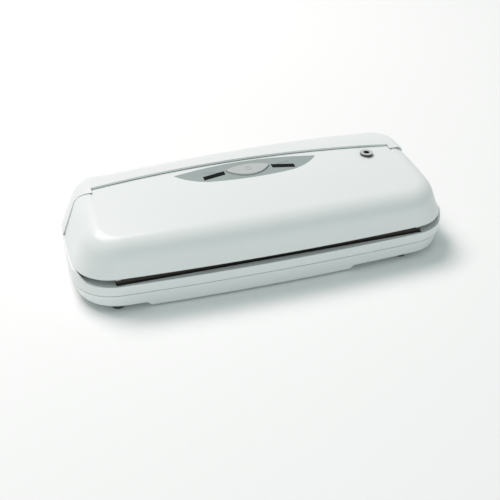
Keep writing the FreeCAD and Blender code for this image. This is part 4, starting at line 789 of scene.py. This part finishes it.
@dataclass
class ScrewSet:
    """Pan-head screws with a cross slot, which stand for one node, with their places by length.

    The crown's points are shares of the head's radius and of its height.
    """

    node: str
    body: str
    heads_up: bool
    places: dict[float, tuple[Point, ...]]
    shank: float = 0.0015
    head: float = 0.003
    head_height: float = 0.0016
    crown: tuple = ((0.0, 1.0), (0.45, 0.97), (0.8, 0.82), (0.97, 0.55), (1.0, 0.385), (1.0, 0.0))
    slot_reach: float = 0.0017
    slot_half: float = 0.00032
    slot_depth: float = 0.0009
    slot_headroom: float = 0.0008
    slot_turn: float = 37.0
    steps: int = 32
    sharp: float = 30.0

    def head_mesh(self, length: float) -> BMesh:
        """Make one screw with its seat at the origin and its head above, before the slot is cut.

        Args:
            length: how far it reaches below its seat.
        Returns:
            The screw.
        """
        crown = [(self.head * radius, self.head_height * height) for radius, height in self.crown]
        stem = [(self.shank, 0.0), (self.shank, -length + self.shank), (0.0, -length)]
        return spun(crown + stem, self.steps)

    def slot_mesh(self) -> BMesh:
        """Make the cross that is cut from a head.

        Returns:
            The two arms of the cross, which run through each other.
        """
        low = Vector((-self.slot_reach, -self.slot_half, self.head_height - self.slot_depth))
        high = Vector((self.slot_reach, self.slot_half, self.head_height + self.slot_headroom))
        cross = bmesh.new()
        for turn in (0.0, math.pi / 2):
            arm = block_mesh(low, high)
            bmesh.ops.rotate(arm, cent=(0, 0, 0), matrix=Matrix.Rotation(turn, 3, "Z"), verts=arm.verts[:])
            data = bpy.data.meshes.new("slot_arm")
            arm.to_mesh(data)
            arm.free()
            cross.from_mesh(data)
            bpy.data.meshes.remove(data)
        return cross

    def one_screw(self, length: float) -> bpy.types.Mesh:
        """Cut the slot into one screw.

        Args:
            length: how far the screw reaches below its seat.
        Returns:
            The finished screw, with its seat at the origin.
        """
        blank = add_object("screw_blank", self.head_mesh(length))
        cross = add_object("screw_cross", self.slot_mesh())
        cutter = blank.modifiers.new("cross_slot", "BOOLEAN")
        cutter.object = cross
        cutter.operation = "DIFFERENCE"
        cutter.solver = "EXACT"
        cutter.use_self = True
        view = bpy.context.evaluated_depsgraph_get()
        cut = bpy.data.meshes.new_from_object(blank.evaluated_get(view))
        for made in (blank, cross):
            bpy.data.objects.remove(made)
        return cut

    def build(self, shop: PaintShop) -> bpy.types.Object:
        """Set a screw at every place.

        Args:
            shop: where the material comes from.
        Returns:
            The new piece.
        """
        mesh = bmesh.new()
        over = Matrix.Rotation(0.0 if self.heads_up else math.pi, 3, "X")
        for length, spots in self.places.items():
            pattern = self.one_screw(length)
            for number, spot in enumerate(spots):
                before = len(mesh.verts)
                mesh.from_mesh(pattern)
                mesh.verts.ensure_lookup_table()
                new = mesh.verts[before:]
                turn = Matrix.Rotation(math.radians(self.slot_turn * number), 3, "Z")
                bmesh.ops.rotate(mesh, cent=(0, 0, 0), matrix=over @ turn, verts=new)
                bmesh.ops.translate(mesh, vec=spot, verts=new)
            bpy.data.meshes.remove(pattern)
        made = finish_piece(shop, mesh, f"{self.node}_slotted", self.body, "steel", self.sharp)
        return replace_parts(made, self.node)


# Screws, with their seats in metres by length
SCREW_SETS = (
    ScrewSet("casing_screws", "base", False, {
        0.016: mirrored((0.172, -0.02, 0.008), (0.06, -0.062, 0.008)),
        0.032: mirrored((0.167, 0.0533, 0.008)),
    }),
    ScrewSet("lid_screws", "lid", False, {
        0.009: mirrored((0.164, -0.046, 0.04), (0.164, 0.0, 0.04), (0.1, 0.02, 0.0616)),
    }),
    ScrewSet("bay_screws", "base", True, {
        0.01: mirrored((0.1692, 0.018, 0.0308), (0.1692, 0.04, 0.0308)),
    }),
)


@dataclass
class RubberFeet:
    """Four rubber discs with rounded rims and a shallow dimple."""

    left_x: float = -0.154
    right_x: float = 0.1375
    y: float = 0.057
    radius: float = 0.0063
    height: float = 0.0072
    rim: float = 0.0011
    rim_segments: int = 4
    dimple: float = 0.00055
    steps: int = 48

    @staticmethod
    def soles(mesh: BMesh) -> list[bmesh.types.BMFace]:
        """Find the faces that stand on the table."""
        return [face for face in mesh.faces if face.calc_center_median().z < TOUCHING]

    def build(self, shop: PaintShop) -> bpy.types.Object:
        """Model the feet, standing on the table.

        Args:
            shop: where the material comes from.
        Returns:
            The new piece.
        """
        mesh = bmesh.new()
        for x in (self.left_x, self.right_x):
            for y in (-self.y, self.y):
                spot = Matrix.Translation((x, y, self.height / 2))
                bmesh.ops.create_cone(
                    mesh, cap_ends=True, segments=self.steps, radius1=self.radius, radius2=self.radius,
                    depth=self.height, matrix=spot,
                )
        rims = list({edge for face in self.soles(mesh) for edge in face.edges})
        round_edges(mesh, rims, self.rim, self.rim_segments)
        dimpled = [face for face in self.soles(mesh) if len(face.verts) == self.steps]
        bmesh.ops.inset_individual(mesh, faces=dimpled, thickness=self.rim)
        for face in dimpled:
            bmesh.ops.translate(mesh, vec=(0, 0, self.dimple), verts=face.verts)
        made = finish_piece(shop, mesh, "rubber_foot_pads", "base", "dark_rubber")
        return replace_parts(made, "rubber_feet")


# Studio

@dataclass(frozen=True)
class Lamp:
    """One soft rectangular lamp: where it hangs, its size in metres, its watts and colour."""

    name: str
    place: Point
    size: tuple[float, float]
    watts: float
    colour: Colour


@dataclass
class Studio:
    """A plain pale floor, soft light and the camera.

    The rear lamp throws the shadow to the front, and the low front one lifts the walls.
    """

    camera_place: Point = (-0.2305, -0.7059, 0.4854)
    camera_aim: Point = (-0.00546, 0.0, -0.0029)
    lens: float = 61.2
    sensor: float = 36.0
    floor_half: float = 6.0
    floor_colour: Colour = (0.97, 0.975, 0.972)
    floor_roughness: float = 0.9
    floor_specular: float = 0.1
    sky_colour: Colour = (0.86, 1.0, 0.985)
    sky_light: float = 0.42
    white_light: float = 1.0
    lamps: tuple[Lamp, ...] = (
        Lamp("rear_softbox", (-0.75, 1.3, 2.6), (1.7, 1.1), 66.0, (1.0, 0.91, 0.905)),
        Lamp("front_card", (-0.6, -2.3, 0.4), (2.0, 0.5), 6.5, (0.9, 1.0, 0.99)),
    )

    @staticmethod
    def stand(name: str, data: bpy.types.ID, spot: Point, aim: Point) -> bpy.types.Object:
        """Stand a lamp or camera somewhere and point it.

        Args:
            name: the object's name.
            data: the lamp or camera.
            spot: where it stands.
            aim: the point that it looks at.
        Returns:
            The new object.
        """
        made = bpy.data.objects.new(name, data)
        bpy.context.scene.collection.objects.link(made)
        made.location = spot
        made.rotation_mode = "QUATERNION"
        made.rotation_quaternion = (Vector(aim) - Vector(spot)).to_track_quat("-Z", "Y")
        return made

    def set_view(self) -> None:
        """Use the plain view transform."""
        bpy.context.scene.view_settings.view_transform = "Standard"

    def lay_floor(self) -> None:
        """Lay a wide pale floor."""
        mesh = bmesh.new()
        bmesh.ops.create_grid(mesh, x_segments=2, y_segments=2, size=self.floor_half)
        floor = add_object("studio_floor", mesh)
        material = bpy.data.materials.new("studio_paper")
        material.use_nodes = True
        shader = material.node_tree.nodes["Principled BSDF"]
        shader.inputs["Base Color"].default_value = (*self.floor_colour, 1.0)
        shader.inputs["Roughness"].default_value = self.floor_roughness
        shader.inputs["Specular IOR Level"].default_value = self.floor_specular
        floor.data.materials.append(material)

    def light_world(self) -> None:
        """Light the scene evenly from all round, and show white to the camera and in mirrors and glass."""
        world = bpy.data.worlds.new("studio_sky")
        bpy.context.scene.world = world
        world.use_nodes = True
        tree = world.node_tree
        tree.nodes.clear()
        ray = add_node(tree, "ShaderNodeLightPath").outputs
        bounced = calculate(tree, "MAXIMUM", ray["Is Glossy Ray"], ray["Is Transmission Ray"])
        seen = calculate(tree, "MAXIMUM", ray["Is Camera Ray"], bounced)
        soft = add_node(
            tree, "ShaderNodeBackground", {"Color": (*self.sky_colour, 1.0), "Strength": self.sky_light}
        )
        white = add_node(tree, "ShaderNodeBackground", {"Color": WHITE, "Strength": self.white_light})
        both = add_node(tree, "ShaderNodeMixShader", {0: seen, 1: soft.outputs[0], 2: white.outputs[0]})
        add_node(tree, "ShaderNodeOutputWorld", {"Surface": both.outputs[0]})

    def hang_lamps(self) -> None:
        """Hang the lamps, each aimed at the middle of the floor."""
        for lamp in self.lamps:
            data = bpy.data.lights.new(lamp.name, "AREA")
            data.shape = "RECTANGLE"
            data.size, data.size_y = lamp.size
            data.energy = lamp.watts
            data.color = lamp.colour
            self.stand(lamp.name, data, lamp.place, (0.0, 0.0, 0.0))

    def stand_camera(self) -> None:
        """Stand the camera at the photograph's angle."""
        data = bpy.data.cameras.new("studio_camera")
        data.lens = self.lens
        data.sensor_width = self.sensor
        camera = self.stand("studio_camera", data, self.camera_place, self.camera_aim)
        bpy.context.scene.camera = camera

    def build(self) -> None:
        """Set up the floor, the light and the camera."""
        self.set_view()
        self.lay_floor()
        self.light_world()
        self.hang_lamps()
        self.stand_camera()


def main() -> None:
    """Dress the solids, model the soft and small pieces, and set up the studio."""
    logging.basicConfig(level=logging.INFO)
    shop = PaintShop()
    shop.dress_nodes(frame["nodes"], frame["record"])
    FoamGasket("lower_gasket", "base", seals_upwards=True).build(shop)
    FoamGasket("upper_gasket", "lid", seals_upwards=False).build(shop)
    bar = SealingBar()
    bar.build_strip(shop)
    bar.build_tape(shop)
    RubberFeet().build(shop)
    for group in SCREW_SETS:
        group.build(shop)
    Studio().build()


if __name__ == "__main__":
    main()
